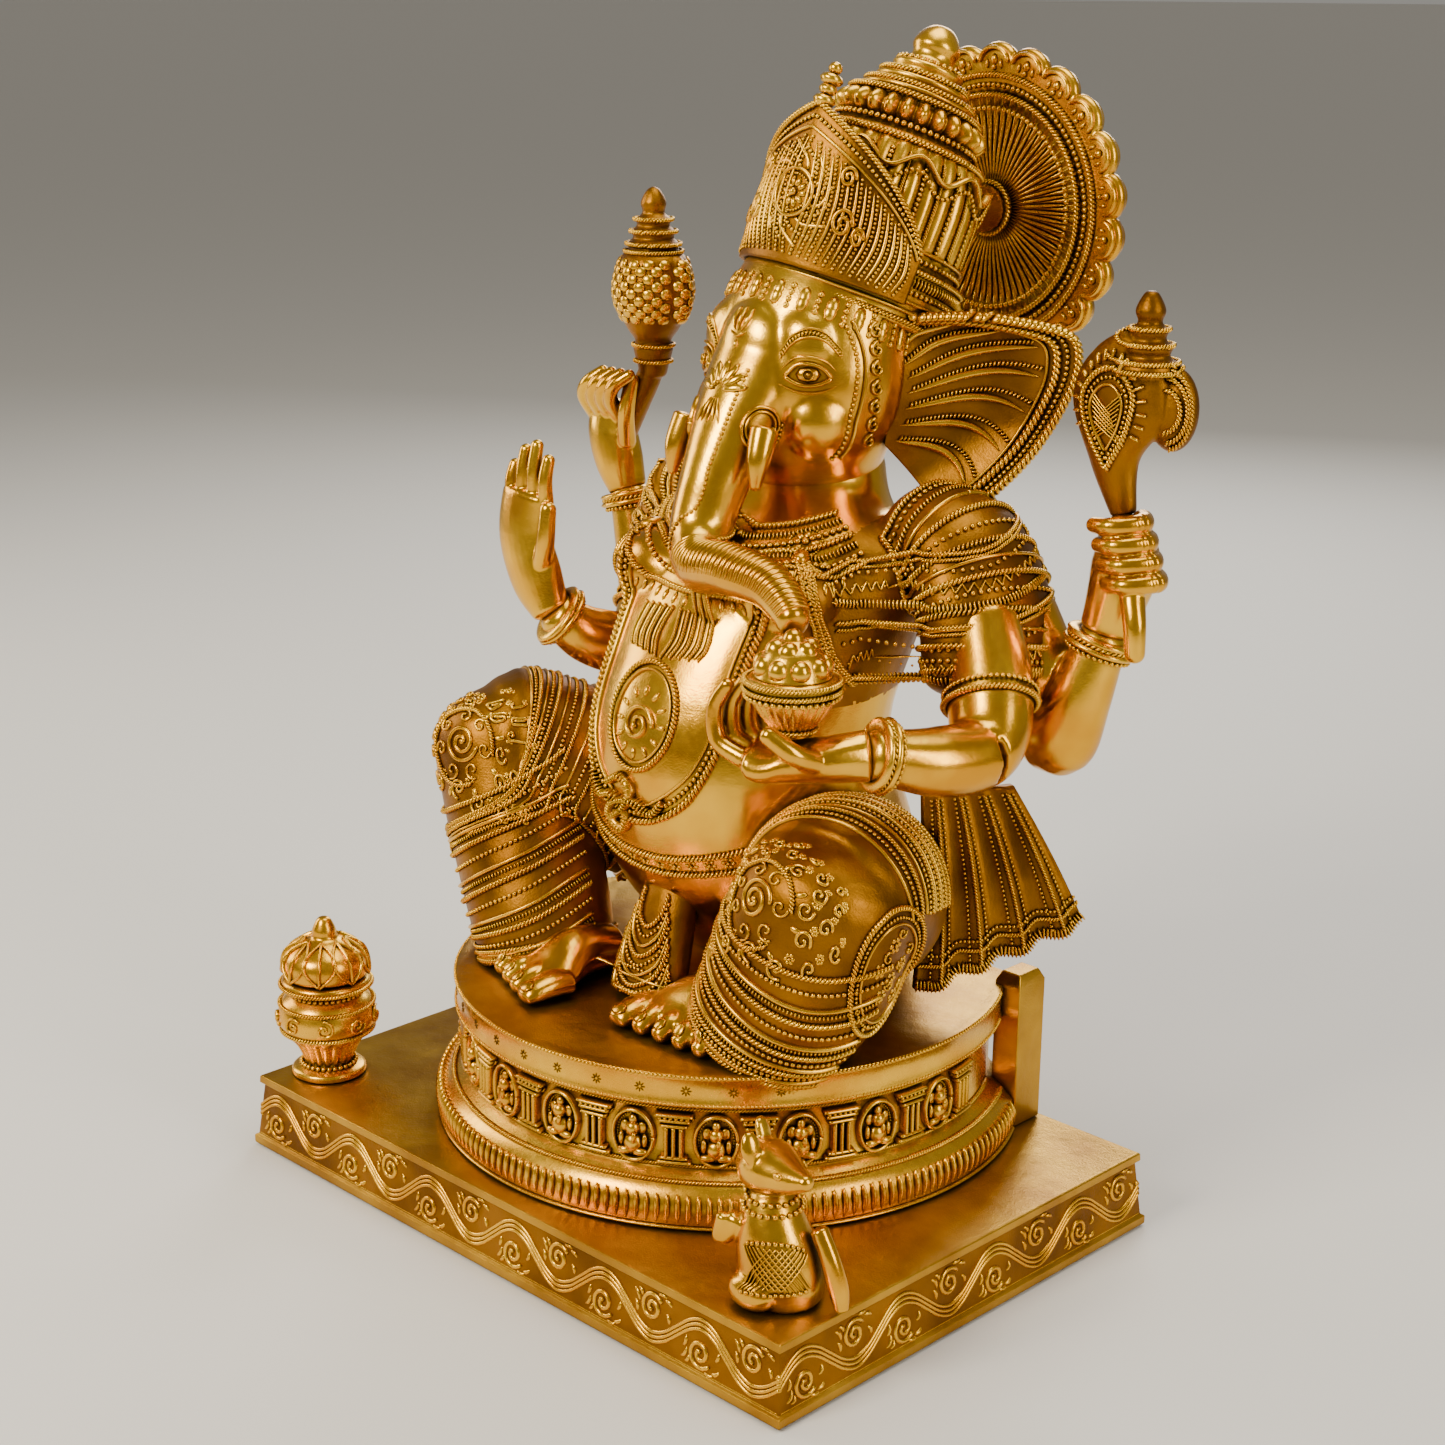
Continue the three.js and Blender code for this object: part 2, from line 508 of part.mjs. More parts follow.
const BUD_AT = [-135, 106, 362];
const LOOP_AT = [156, 104, 338];
const budPiece = () => union([
  turned([
    [0, 0], [6, 0], [8, 6], [10, 14], [9, 18], [13, 24], [19, 36], [20, 46], [17, 58], [12, 64],
    [13, 66], [10, 69], [11, 72], [8, 75], [9, 78], [5, 81], [6, 86], [3, 92], [0, 94],
  ], 10),
  ball([15, 2, 44], [9, 8, 18]),
]);
const loopPiece = () => union([
  loft([[2, 0, 0, 6, 5], [-4, 0, 22, 12, 8], [-3, 0, 44, 24, 10], [2, 0, 62, 20, 9], [6, 0, 74, 10, 8]],
    { around: 10, rings: 5, side: [1, 0, 0], domes: [0.3, 0.3] }),
  ball([20, 6, 46], [12, 10, 19]),
  turned([[0, 62], [12, 62], [12.5, 66], [9.5, 69], [10, 73], [7, 76], [8, 80], [5, 82], [6.5, 87],
      [3, 94], [0, 95]], 8)
    .translate([10, 0, 0]),
]);

// ---- bowl of sweets -----------------------------------------------------------------------------------
const BOWL_AT = [98, -37, 255];
const bowlPiece = () => turned([
  [0, 0], [8, 0], [9, 3], [14, 10], [18, 17], [19.5, 22], [18, 25], [15.5, 25], [12, 18], [0, 14],
], 14);
const HEAP = { base: 25.5 + GAP, radius: 15 };
function sweetsHeap() {
  const sweets = [];
  const rows = [[7, 11, 4], [3, 5.5, 11], [1, 0, 16]];
  for (const [count, ring, height] of rows) {
    for (let k = 0; k < count; k += 1) {
      const angle = (2 * Math.PI * k) / count + height;
      sweets.push(ball([ring * Math.cos(angle), ring * Math.sin(angle), HEAP.base + height],
          [5.2, 5.2, 5.8], 6));
    }
  }
  const core = turned([[0, HEAP.base], [HEAP.radius, HEAP.base], [12, 38], [0, 42]], 10);
  return union([core, ...sweets]).intersect(block([-40, -40, HEAP.base], [40, 40, 90]));
}

// ---- drapery ------------------------------------------------------------------------------------------
// Fall of cloth between the shins, standing on the deck.
const PLEATS = [[0, -2, 172, 12, 8], [2, -14, 150, 16, 10], [4, -24, 126, 19, 11], [5, -30, 109, 20, 12]];
const pleatsSolid = (grow = 0) =>
  loft(PLEATS, { around: 10, rings: 5, side: [1, 0, 0], grow, domes: [0.3, 0.02] });

// Free end of the waist sash: a pleated tail that widens from the hip to its hem.
function sash(sign) {
  const top = [[84, 66, 204], [112, 96, 206]];
  const hem = [[98, 48, 116], [142, 112, 146]];
  const thick = 7;
  return plate((u, v, w) => {
    const mix = (a, b, t) => a.map((value, k) => value + (b[k] - value) * t);
    const [near, far] = [mix(top[0], hem[0], v), mix(top[1], hem[1], v)];
    const [x, y, z] = mix(near, far, u);
    const fold = 3 * Math.cos(u * Math.PI * 6) * v + 5 * Math.sin(Math.PI * v);
    const out = (w - 0.5) * thick + fold;
    return [sign * (x + out * 0.77), y - out * 0.64, z];
  }, 12, 4);
}

// ---- feet ---------------------------------------------------------------------------------------------
// Bare foot standing on the deck, toes towards -Y; `inner` is +1 where the big toe is on the +X side.
const FOOT = { width: 30, height: 10, heel: 28, ball: -10, toeTip: -32 };
const footBody = (grow = 0) => loft([
  [0, FOOT.heel, FOOT.height, 15, FOOT.height], [0, 8, FOOT.height + 1, 20, 12],
      [0, FOOT.ball, 6, FOOT.width, 7.5],
  [0, FOOT.ball - 6, 5, FOOT.width, 5.5]], { around: 10, rings: 4, grow, domes: [0.4, 0.2],
      domeSteps: 1 });
function foot(inner) {
  const toes = [0, 1, 2, 3, 4].map((k) => {
    const x = inner * (23.5 - 11.6 * k - (k > 0 ? 1.5 : 0));
    const size = k === 0 ? 8 : 6.2 - 0.3 * k;
    const tip = FOOT.toeTip + 5 + 2.2 * k;
    return loft([[x, FOOT.ball + 2, 5, size, 5], [x, FOOT.ball - 7, 6, size, 5.5],
        [x, tip, 4.5, size * 0.9, 4.4]],
      { around: 6, rings: 2, domes: [0.2, 0.7], domeSteps: 1 });
  });
  return union([footBody(), ...toes]);
}
const FEET = {
  left: { at: [47, -37], turn: -8, inner: -1 },
  right: { at: [-45, -42], turn: -12, inner: 1 },
};
const footPlaced = (name, solid) =>
  solid.rotate([0, 0, FEET[name].turn]).translate([...FEET[name].at, DECK_TOP]).intersect(aboveDeck);

// ---- mouse --------------------------------------------------------------------------------------------
const mouseBody = () => loft([[0, 2, 1, 17, 15], [0, 1, 14, 19, 18], [-2, -1, 28, 16, 16],
    [-5, 0, 40, 11, 12]],
  { around: 12, rings: 5, side: [1, 0, 0], domes: [0.02, 0.4] }).intersect(block([-60, -60, GAP],
      [60, 60, 90]));
const mouseHead = () => union([
  loft([[-16, 5, 54, 12, 11], [-6, 0, 57, 14, 12], [9, -4, 60, 9, 8], [19, -6, 62, 4, 4]],
    { around: 10, rings: 5, side: [0, 1, 0], domes: [0.6, 0.8] }),
  ball([-18, 8, 66], [5, 5, 7], 6),
  ball([-8, -10, 68], [5, 4, 7], 6),
]);
const mouseTail = () => loft([[16, 6, 34, 4, 4], [22, 6, 24, 4.2, 4.2], [26, 7, 12, 4.4, 4.4],
    [28, 7, 3.2, 3, 3]],
  { around: 7, rings: 5, side: [0, 1, 0], domes: [0.5, 0.1] }).intersect(block([-60, -60, GAP],
      [60, 60, 90]));

// ---- filled pot ---------------------------------------------------------------------------------------
const potPiece = () => turned([
  [0, GAP], [17, GAP], [18, 3], [12, 6], [13, 14], [21, 22], [24, 30], [22, 38], [17, 43], [21, 47],
      [20, 50],
  [12, 50], [12, 40], [0, 34],
], 12);
const POT_TOP = 50 + GAP;
const coconutPiece = () => turned([
  [0, POT_TOP], [19, POT_TOP], [21, 56], [18, 63], [10, 68], [6, 71], [5, 75], [3, 80], [0, 81],
], 10);

// ---- assembly -----------------------------------------------------------------------------------------
const group = new THREE.Group();
const screwAt = (name, [x, y], seat, length) => place(group, name, screw(seat, length), steel(), [x, y,
    0]);
const hole = ([x, y], bottom, top) =>
  cylinder(SCREW.shank + SCREW.clearance, bottom, top).translate([x, y, 0]);

place(group, 'base_plate', basePlate(), brass());
place(group, 'base_boss', baseBoss(), brass());
place(group, 'pedestal_drum', pedestalDrum(), brass());
place(group, 'pedestal_deck', pedestalDeck(), brass());
PEDESTAL_SCREWS.forEach((spot, k) => screwAt(`pedestal_screw_${k + 1}`, spot, SLAB_BOTTOM, 13));
IDOL_SCREWS.forEach((spot, k) => screwAt(`idol_screw_${k + 1}`, spot, DECK.bottom, 16));
screwAt('mouse_screw', MOUSE_SCREW, SLAB_BOTTOM, 14);
screwAt('pot_screw', POT_SCREW, SLAB_BOTTOM, 14);

// Trunk of the body: closed floor bolted to the deck, core open at the neck.
const torsoCore = loft(core(TORSO), { around: 12, rings: 6, domes: [0,
    0.1] }).intersect(above(TORSO_FLOOR));
const neckBore = cylinder(NECK.mouth, 320, 360, 20).translate([0, 78, 0]);
const torsoGrown = torsoSolid(GAP);
const screwHoles = IDOL_SCREWS.map((spot) => hole(spot, DECK_TOP - 2, TORSO_FLOOR + 4));
const torso = torsoSolid().intersect(aboveDeck).intersect(below(NECK.joint));
place(group, 'torso', cut(torso, torsoCore, neckBore, ...screwHoles), brass());

// Legs, feet and the cloth between and beside them.
const toeRoom = block([-FOOT.width - 3, FOOT.toeTip - 6, 0],
    [FOOT.width + 3, FOOT.ball + 6, FOOT.height + 3]);
const footSpaces = Object.keys(FEET).map((name) => footPlaced(name, footBody(GAP).add(toeRoom)));
const feetSpace = union(footSpaces);
const legNames = Object.keys(LEGS);
const legsGrown = union(legNames.map((name) => legSolid(name, GAP)));
for (const name of legNames) {
  const { thigh, shin } = LEGS[name];
  const shinCore = loft(core(shin), { ...limb, around: 8, side: [1, 0, 0], domes: [0, 0.4] });
  const thighCore = loft(core(thigh), { ...limb, around: 8, domes: [0, 0] });
  const leg = cut(legSolid(name).intersect(aboveDeck), torsoGrown, feetSpace, shinCore, thighCore);
  place(group, `leg_${name}`, mainBody(leg), brass());
  place(group, `foot_${name}`, footPlaced(name, foot(FEET[name].inner)), brass());
}
place(group, 'front_pleats', cut(pleatsSolid().intersect(aboveDeck), torsoGrown, legsGrown, feetSpace),
    brass());
place(group, 'sash_left', cut(sash(1), torsoGrown, legsGrown), brass());
place(group, 'sash_right', cut(sash(-1), torsoGrown, legsGrown), brass());

// Head with its trunk, tusks and ears.
const headGrown = headSolid(GAP);
const headCore = loft(core(HEAD), { around: 10, rings: 5, domes: [0.6, 0] });
place(group, 'head', cut(headSolid().intersect(above(NECK.joint + GAP)), headCore), brass());
const tusks = { left: TUSK, right: mirrored(TUSK) };
const tuskSpace = union(Object.values(tusks).map((stations) => tuskSolid(stations, GAP)));
const heap = sweetsHeap().translate(BOWL_AT);
place(group, 'trunk', cut(trunkSolid(), headGrown, tuskSpace, swollen(heap)), brass());
for (const [name, stations] of Object.entries(tusks)) {
  place(group, `tusk_${name}`, cut(tuskSolid(stations), headGrown), brass());
}

// Capes, arms and hands.
const capes = { left: CAPE_LEFT, right: CAPE_RIGHT };
const capeEnd = (stations) => ball(stations[3].slice(0, 3), [30, 40, 12]);
const capesGrown = union(Object.values(capes).map((stations) => capeSolid(stations, GAP)));
for (const [name, stations] of Object.entries(capes)) {
  const capeCore = loft(core(stations), { around: 8, rings: 3, side: [0.7, 0, 0.7], domes: [0.2, 0] });
  const cape = cut(capeSolid(stations), torsoGrown, headGrown, capeCore.subtract(capeEnd(stations)));
  place(group, `shoulder_cape_${name}`, mainBody(cape), brass());
}
const bud = budPiece().translate(BUD_AT);
const loop = loopPiece().translate(LOOP_AT);
const bowl = bowlPiece().translate(BOWL_AT);
const hands = {
  front_left: cut(handFrontLeft(), swollen(bowl)),
  rear_left: cut(handRearLeft(), swollen(loop)),
  front_right: handFrontRight(),
  rear_right: cut(handRearRight(), swollen(bud)),
};
const earsGrown = union([swollen(ear(1)), swollen(ear(-1))]);
for (const [name, hand] of Object.entries(hands)) {
  place(group, `arm_${name}`, cut(armSolid(name), capesGrown, torsoGrown, legsGrown), brass());
  place(group, `hand_${name}`, cut(hand, armSolid(name, GAP)), brass());
}
place(group, 'ear_left', cut(ear(1), headGrown, capesGrown, torsoGrown), brass());
place(group, 'ear_right', cut(ear(-1), headGrown, capesGrown, torsoGrown), brass());
place(group, 'lotus_bud', budPiece(), brass(), BUD_AT);
place(group, 'noose', loopPiece(), brass(), LOOP_AT);
place(group, 'sweet_bowl', bowlPiece(), brass(), BOWL_AT);
place(group, 'sweets', sweetsHeap(), brass(), BOWL_AT);

// Crown, in its own tilted frame.
const crown = new THREE.Group();
crown.position.copy(crownBase);
crown.quaternion.copy(crownTurn);
group.add(crown);
const headInCrown = intoCrown(headGrown);
const earsInCrown = intoCrown(earsGrown);
place(crown, 'crown_band', cut(crownBand(), headInCrown, earsInCrown), brass());
place(crown, 'crown_dome', cut(crownDome(), headInCrown), brass());
place(crown, 'crown_front_plate', cut(crownFrontPlate(), swollen(crownBand()), headInCrown,
    earsInCrown), brass());
place(crown, 'crown_finial', crownFinial(), brass());

// Halo disc behind the crown, carried by a round boss.
const halo = new THREE.Mesh(geometryOf(haloDisc()), brassDark());
halo.name = 'halo_disc';
halo.position.set(...HALO.centre);
halo.rotation.x = Math.PI / 2;
group.add(halo);
const crownFill = turned([[0, -12], [44, -12], [44, 44], [42, 56], [37.5, 66], [31.5, 73], [0, 73]], 24);
const boss = cylinder(11, 0, 60, 16).rotate([90, 0, 0])
  .translate([HALO.centre[0], HALO.centre[1] - HALO.thickness - GAP, HALO.centre[2]]);
const crownSpace = solidOf(geometryOf(crownFill).applyMatrix4(crownMatrix));
place(group, 'halo_boss', cut(boss, swollen(crownSpace)), brass());

// Mouse and filled pot on the plate.
const mouse = new THREE.Group();
mouse.position.set(...MOUSE_AT);
group.add(mouse);
const mouseScrewHole = hole([0, 0], -2, 12);
const mouseGrown = swollen(mouseBody());
place(mouse, 'mouse_body', mouseBody().subtract(mouseScrewHole), brass());
place(mouse, 'mouse_head', mouseHead().subtract(mouseGrown), brass());
place(mouse, 'mouse_tail', mouseTail().subtract(mouseGrown), brass());
const pot = new THREE.Group();
pot.position.set(...POT_AT);
group.add(pot);
place(pot, 'pot', potPiece().subtract(hole([0, 0], -2, 12)), brass());
place(pot, 'coconut', coconutPiece(), brass());

export default group;
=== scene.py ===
# %% [markdown]
# # A cast brass elephant-headed figure on a stepped base
# The real object is lost-wax cast in sections, brazed together, chased with punches and then polished:
# the high places shine and the recesses keep a brown patina. This lesson builds it in the same order.
# Smooth castings come first, then the raised ornament is laid on their surfaces, then the metal is
# coloured.
# %% Load the fixed frame
import math

import bmesh
import bpy
import numpy as np
from mathutils import Matrix, Vector
from mathutils.bvhtree import BVHTree


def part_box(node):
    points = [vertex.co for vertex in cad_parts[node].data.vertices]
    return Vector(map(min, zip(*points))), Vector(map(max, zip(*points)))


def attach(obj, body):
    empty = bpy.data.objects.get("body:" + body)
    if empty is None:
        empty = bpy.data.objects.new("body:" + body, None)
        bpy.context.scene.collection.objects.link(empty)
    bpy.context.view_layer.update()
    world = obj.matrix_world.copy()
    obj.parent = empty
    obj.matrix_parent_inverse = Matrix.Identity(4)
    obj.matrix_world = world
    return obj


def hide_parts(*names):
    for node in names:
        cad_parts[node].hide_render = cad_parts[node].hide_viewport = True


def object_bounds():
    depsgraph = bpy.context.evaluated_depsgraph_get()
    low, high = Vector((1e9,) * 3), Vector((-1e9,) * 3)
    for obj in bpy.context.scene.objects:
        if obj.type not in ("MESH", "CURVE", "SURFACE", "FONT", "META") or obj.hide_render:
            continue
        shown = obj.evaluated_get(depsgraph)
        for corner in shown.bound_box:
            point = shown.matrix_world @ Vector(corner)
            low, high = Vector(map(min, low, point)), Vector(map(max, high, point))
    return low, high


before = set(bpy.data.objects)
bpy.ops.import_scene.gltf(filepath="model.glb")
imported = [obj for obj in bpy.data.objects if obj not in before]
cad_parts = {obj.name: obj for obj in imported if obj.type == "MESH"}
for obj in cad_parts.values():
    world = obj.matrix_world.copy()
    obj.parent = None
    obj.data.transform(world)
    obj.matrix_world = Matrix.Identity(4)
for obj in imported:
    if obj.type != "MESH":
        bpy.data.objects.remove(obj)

CAD_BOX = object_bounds()
PLATE_LOW, PLATE_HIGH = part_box("base_plate")
PLATE_FOOT_WIDTH = 357.6  # width of the plate's flared foot in millimetres
MM = (PLATE_HIGH.x - PLATE_LOW.x) / PLATE_FOOT_WIDTH
print("one millimetre is", round(MM, 6), "m; nodes:", len(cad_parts))

# %% [markdown]
# ## Camera
# A 62 mm lens on a 36 mm sensor stands to the front left of the figure, a little above its head, and
# leans by half a degree. It is placed first, so that every later look is from the same place.
# %% Camera
CAMERA_SPOT = (773.5, -763.0, 559.3)
CAMERA_AZIMUTH = math.radians(44.6)
CAMERA_DOWN = math.radians(16.8)
CAMERA_ROLL = math.radians(0.59)
camera_data = bpy.data.cameras.new("camera")
camera_data.lens = 62.28
camera_data.sensor_width = 36.0
camera_data.clip_end = 50.0
camera = bpy.data.objects.new("camera", camera_data)
bpy.context.scene.collection.objects.link(camera)
camera.matrix_world = (
    Matrix.Translation(Vector(CAMERA_SPOT) * MM)
    @ Matrix.Rotation(CAMERA_AZIMUTH, 4, "Z")
    @ Matrix.Rotation(math.pi / 2 - CAMERA_DOWN, 4, "X")
    @ Matrix.Rotation(CAMERA_ROLL, 4, "Z")
)
bpy.context.scene.camera = camera
print("camera at", [round(v, 3) for v in camera.location])

# %% [markdown]
# ## Small tools for smooth castings
# A limb, a belly or a trunk is a row of stations along a bent spine: place, half width, half depth. A
# smooth curve through the stations gives a skin with two coordinates, `t` along the spine and an angle
# around it, and ornament can later be placed by those same two numbers.
# %% Curves and lofted bodies
def unit(vectors):
    vectors = np.asarray(vectors, float)
    return vectors / np.maximum(np.linalg.norm(vectors, axis=-1, keepdims=True), 1e-9)


def smooth(table, t):
    """Catmull-Rom curve through the rows of a table, at t counted in rows."""
    table = np.asarray(table, float)
    t = np.atleast_1d(np.asarray(t, float))
    last = len(table) - 1
    i = np.clip(np.floor(t).astype(int), 0, last - 1)
    f = (t - i)[:, None]
    p0, p1, p2, p3 = (table[np.clip(i + k, 0, last)] for k in (-1, 0, 1, 2))
    return p1 + 0.5 * f * (p2 - p0 + f * (2 * p0 - 5 * p1 + 4 * p2 - p3 + f * (3 * (p1 - p2) + p3 - p0)))


class Loft:
    """Body around a bent spine, from stations of x, y, z, half width along `side`, half depth across it."""

    def __init__(self, stations, side=(1, 0, 0), domes=(0.5, 0.5)):
        self.stations = np.array(stations, float)
        self.side = np.array(side, float)
        self.domes = domes
        self.spans = len(stations) - 1

    def frames(self, t):
        t = np.atleast_1d(np.asarray(t, float))
        row = smooth(self.stations, t)
        ahead = smooth(self.stations[:, :3], np.minimum(t + 0.01, self.spans))
        behind = smooth(self.stations[:, :3], np.maximum(t - 0.01, 0))
        along = unit(ahead - behind)
        side = unit(self.side - along * (along @ self.side)[:, None])
        return row[:, :3], side, np.cross(along, side), along, row[:, 3], row[:, 4]

    def spot(self, t, angle, lift=0.0):
        t, angle = np.broadcast_arrays(np.atleast_1d(t), np.atleast_1d(angle))
        centre, side, face, _, width, depth = self.frames(t)
        return (centre + side * ((width + lift) * np.cos(angle))[:, None]
                + face * ((depth + lift) * np.sin(angle))[:, None])

    def body(self, rings=40, around=40, dome_steps=6):
        t = np.linspace(0, self.spans, rings)
        shifts, scales, places = [], [], []
        sizes = [min(self.stations[0, 3:]) * self.domes[0], min(self.stations[-1, 3:]) * self.domes[1]]
        rise = np.linspace(np.pi / 2, 0, dome_steps, endpoint=False)
        for k in rise:
            places.append(0.0)
            shifts.append(-sizes[0] * math.sin(k))
            scales.append(math.cos(k))
        for value in t:
            places.append(value)
            shifts.append(0.0)
            scales.append(1.0)
        for k in rise[::-1]:
            places.append(self.spans)
            shifts.append(sizes[1] * math.sin(k))
            scales.append(math.cos(k))
        centre, side, face, along, width, depth = self.frames(places)
        scales = np.array(scales)[:, None]
        centre = centre + along * np.array(shifts)[:, None]
        angle = np.linspace(0, 2 * np.pi, around, endpoint=False)
        points = (centre[:, None]
            + (side * (width[:, None] * scales))[:, None] * np.cos(angle)[None, :, None]
            + (face * (depth[:, None] * scales))[:, None] * np.sin(angle)[None, :, None])
        return points.reshape(-1, 3), grid_faces(len(places), around)


def grid_faces(rows, columns, closed=True):
    """Quads of a grid of points, wrapped around its columns when closed."""
    wrap = columns if closed else columns - 1
    i, j = np.meshgrid(np.arange(rows - 1), np.arange(wrap), indexing="ij")
    a = (i * columns + j).ravel()
    b = (i * columns + (j + 1) % columns).ravel()
    return np.stack([a, b, b + columns, a + columns], 1)


def ball(centre, radii, turn=(0, 0, 0), rings=16, around=24):
    """Ellipsoid, optionally turned by Euler degrees."""
    tall = np.linspace(-np.pi / 2, np.pi / 2, rings)
    angle = np.linspace(0, 2 * np.pi, around, endpoint=False)
    x = np.cos(tall)[:, None] * np.cos(angle) * radii[0]
    y = np.cos(tall)[:, None] * np.sin(angle) * radii[1]
    z = np.sin(tall)[:, None] * np.ones(around) * radii[2]
    points = np.stack([x, y, z], -1).reshape(-1, 3)
    euler = np.array(Matrix.Rotation(math.radians(turn[2]), 3, "Z")
                     @ Matrix.Rotation(math.radians(turn[1]), 3, "Y")
                     @ Matrix.Rotation(math.radians(turn[0]), 3, "X"))
    return points @ euler.T + np.array(centre, float), grid_faces(rings, around)


def turned(profile, around=96, steps=4, relief=None):
    """Body turned about +Z from radius, height points; relief(angle, row) scales the radius."""
    rows = smooth(profile, np.linspace(0, len(profile) - 1, (len(profile) - 1) * steps + 1))
    angle = np.linspace(0, 2 * np.pi, around, endpoint=False)
    radius = np.maximum(rows[:, 0], 0)[:, None] * np.ones(around)
    if relief is not None:
        radius = radius * relief(angle[None, :], rows[:, 1][:, None])
    points = np.stack([radius * np.cos(angle), radius * np.sin(angle),
                       rows[:, 1][:, None] * np.ones(around)], -1)
    return points.reshape(-1, 3), grid_faces(len(rows), around)


print("curve tools ready")

# %% [markdown]
# ## From points to metal
# `piece` turns points in millimetres into a Blender object that rides on the frame. `fused` melts
# several overlapping bodies into one skin, as wax sections are melted together: a voxel remesh followed
# by a light smoothing. The result is kept as a plain mesh, so no modifier is left on it.
# %% Pieces and fused castings
FINISH = {}


def mesh_of(name, points, quads, weld=True):
    mesh = bpy.data.meshes.new(name)
    quads = np.asarray(quads, np.int32).reshape(-1, 4)
    mesh.vertices.add(len(points))
    mesh.vertices.foreach_set("co", (np.asarray(points, np.float32) * MM).ravel())
    corners = quads.ravel()
    mesh.loops.add(len(corners))
    mesh.loops.foreach_set("vertex_index", corners)
    starts = np.arange(len(quads), dtype=np.int32) * 4
    mesh.polygons.add(len(starts))
    mesh.polygons.foreach_set("loop_start", starts)
    mesh.polygons.foreach_set("use_smooth", np.ones(len(starts), bool))
    mesh.update(calc_edges=True)
    mesh.validate()
    if weld:
        shape = bmesh.new()
        shape.from_mesh(mesh)
        bmesh.ops.remove_doubles(shape, verts=shape.verts, dist=0.002 * MM)
        bmesh.ops.recalc_face_normals(shape, faces=shape.faces)
        shape.to_mesh(mesh)
        shape.free()
    return mesh


def piece(name, mesh, finish, replaces=()):
    """Links a mesh as a piece of the object, with its finish, and hides the nodes it stands for."""
    thing = bpy.data.objects.new(name, mesh)
    bpy.context.scene.collection.objects.link(thing)
    thing.data.materials.clear()
    thing.data.materials.append(FINISH[finish])
    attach(thing, "root")
    for node_name in replaces:
        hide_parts(node_name)
    return thing


def joined(parts):
    points, quads, start = [], [], 0
    for spots, faces in parts:
        points.append(spots)
        quads.append(np.asarray(faces) + start)
        start += len(spots)
    return np.concatenate(points), np.concatenate(quads)


def fused(name, parts, voxel=1.2, rounds=6):
    """One skin round overlapping bodies, on a grid of `voxel` millimetres, smoothed `rounds` times."""
    points, quads = joined(parts)
    thing = bpy.data.objects.new(name, mesh_of(name, points, quads))
    bpy.context.scene.collection.objects.link(thing)
    remesh = thing.modifiers.new("melt", "REMESH")
    remesh.mode = "VOXEL"
    remesh.voxel_size = voxel * MM
    remesh.use_smooth_shade = True
    if rounds:
        soften = thing.modifiers.new("soften", "SMOOTH")
        soften.factor = 0.6
        soften.iterations = rounds
    bpy.context.view_layer.update()
    graph = bpy.context.evaluated_depsgraph_get()
    mesh = bpy.data.meshes.new_from_object(thing.evaluated_get(graph))
    bpy.data.objects.remove(thing)
    return mesh


class Skin:
    """Surface of finished castings, to lay ornament on."""

    def __init__(self, *meshes):
        points, faces, start = [], [], 0
        for mesh in meshes:
            spots = np.zeros(len(mesh.vertices) * 3)
            mesh.vertices.foreach_get("co", spots)
            points.append(spots.reshape(-1, 3) / MM)
            faces += [[v + start for v in face.vertices] for face in mesh.polygons]
            start += len(mesh.vertices)
        self.tree = BVHTree.FromPolygons(np.concatenate(points).tolist(), faces)

    def snap(self, points):
        spots, normals = [], []
        for point in np.asarray(points, float).tolist():
            spot, normal, _, _ = self.tree.find_nearest(point)
            spots.append(spot[:])
            normals.append(normal[:])
        return np.array(spots), unit(normals)


print("casting tools ready")

# %% [markdown]
# ## Small tools for chased ornament
# Almost every line of ornament on the brass is one of a few punches repeated along a path: round beads,
# slanted grains that read as rope, short ridges across a band, and plain raised lines. `Chasing`
# collects them on paths with surface normals and turns each group into one mesh.
# %% Punches along a path
def evenly(points, normals, pitch):
    """Resamples a path and its normals at a steady pitch."""
    steps = np.linalg.norm(np.diff(points, axis=0), axis=1)
    run = np.concatenate([[0], np.cumsum(steps)])
    count = max(int(round(run[-1] / pitch)), 2)
    marks = np.linspace(0, run[-1], count + 1)
    spots = np.stack([np.interp(marks, run, points[:, k]) for k in range(3)], 1)
    ups = unit(np.stack([np.interp(marks, run, normals[:, k]) for k in range(3)], 1))
    return spots, ups


def grain_template():
    """Small ball of 24 quads with no poles: a cube of 2 by 2 quads a side, blown up to a sphere."""
    points, quads = [], []
    for axis in range(3):
        for side in (-1, 1):
            start = len(points)
            for i in (-1, 0, 1):
                for j in (-1, 0, 1):
                    spot = np.roll([side, i, j], axis)
                    points.append(spot / np.linalg.norm(spot))
            for i in range(2):
                for j in range(2):
                    a = start + 3 * i + j
                    quad = [a, a + 3, a + 4, a + 1]
                    quads.append(quad if side > 0 else quad[::-1])
    kept, place = np.unique(np.round(points, 6), axis=0, return_inverse=True)
    return kept, place.ravel()[np.array(quads)]


GRAIN_POINTS, GRAIN_FACES = grain_template()
TUBE_CAP = np.array([[0, 1, 2, 3], [0, 3, 4, 7], [4, 5, 6, 7]])
RELIEF = 1.5  # how proud the lines stand, against their nominal height


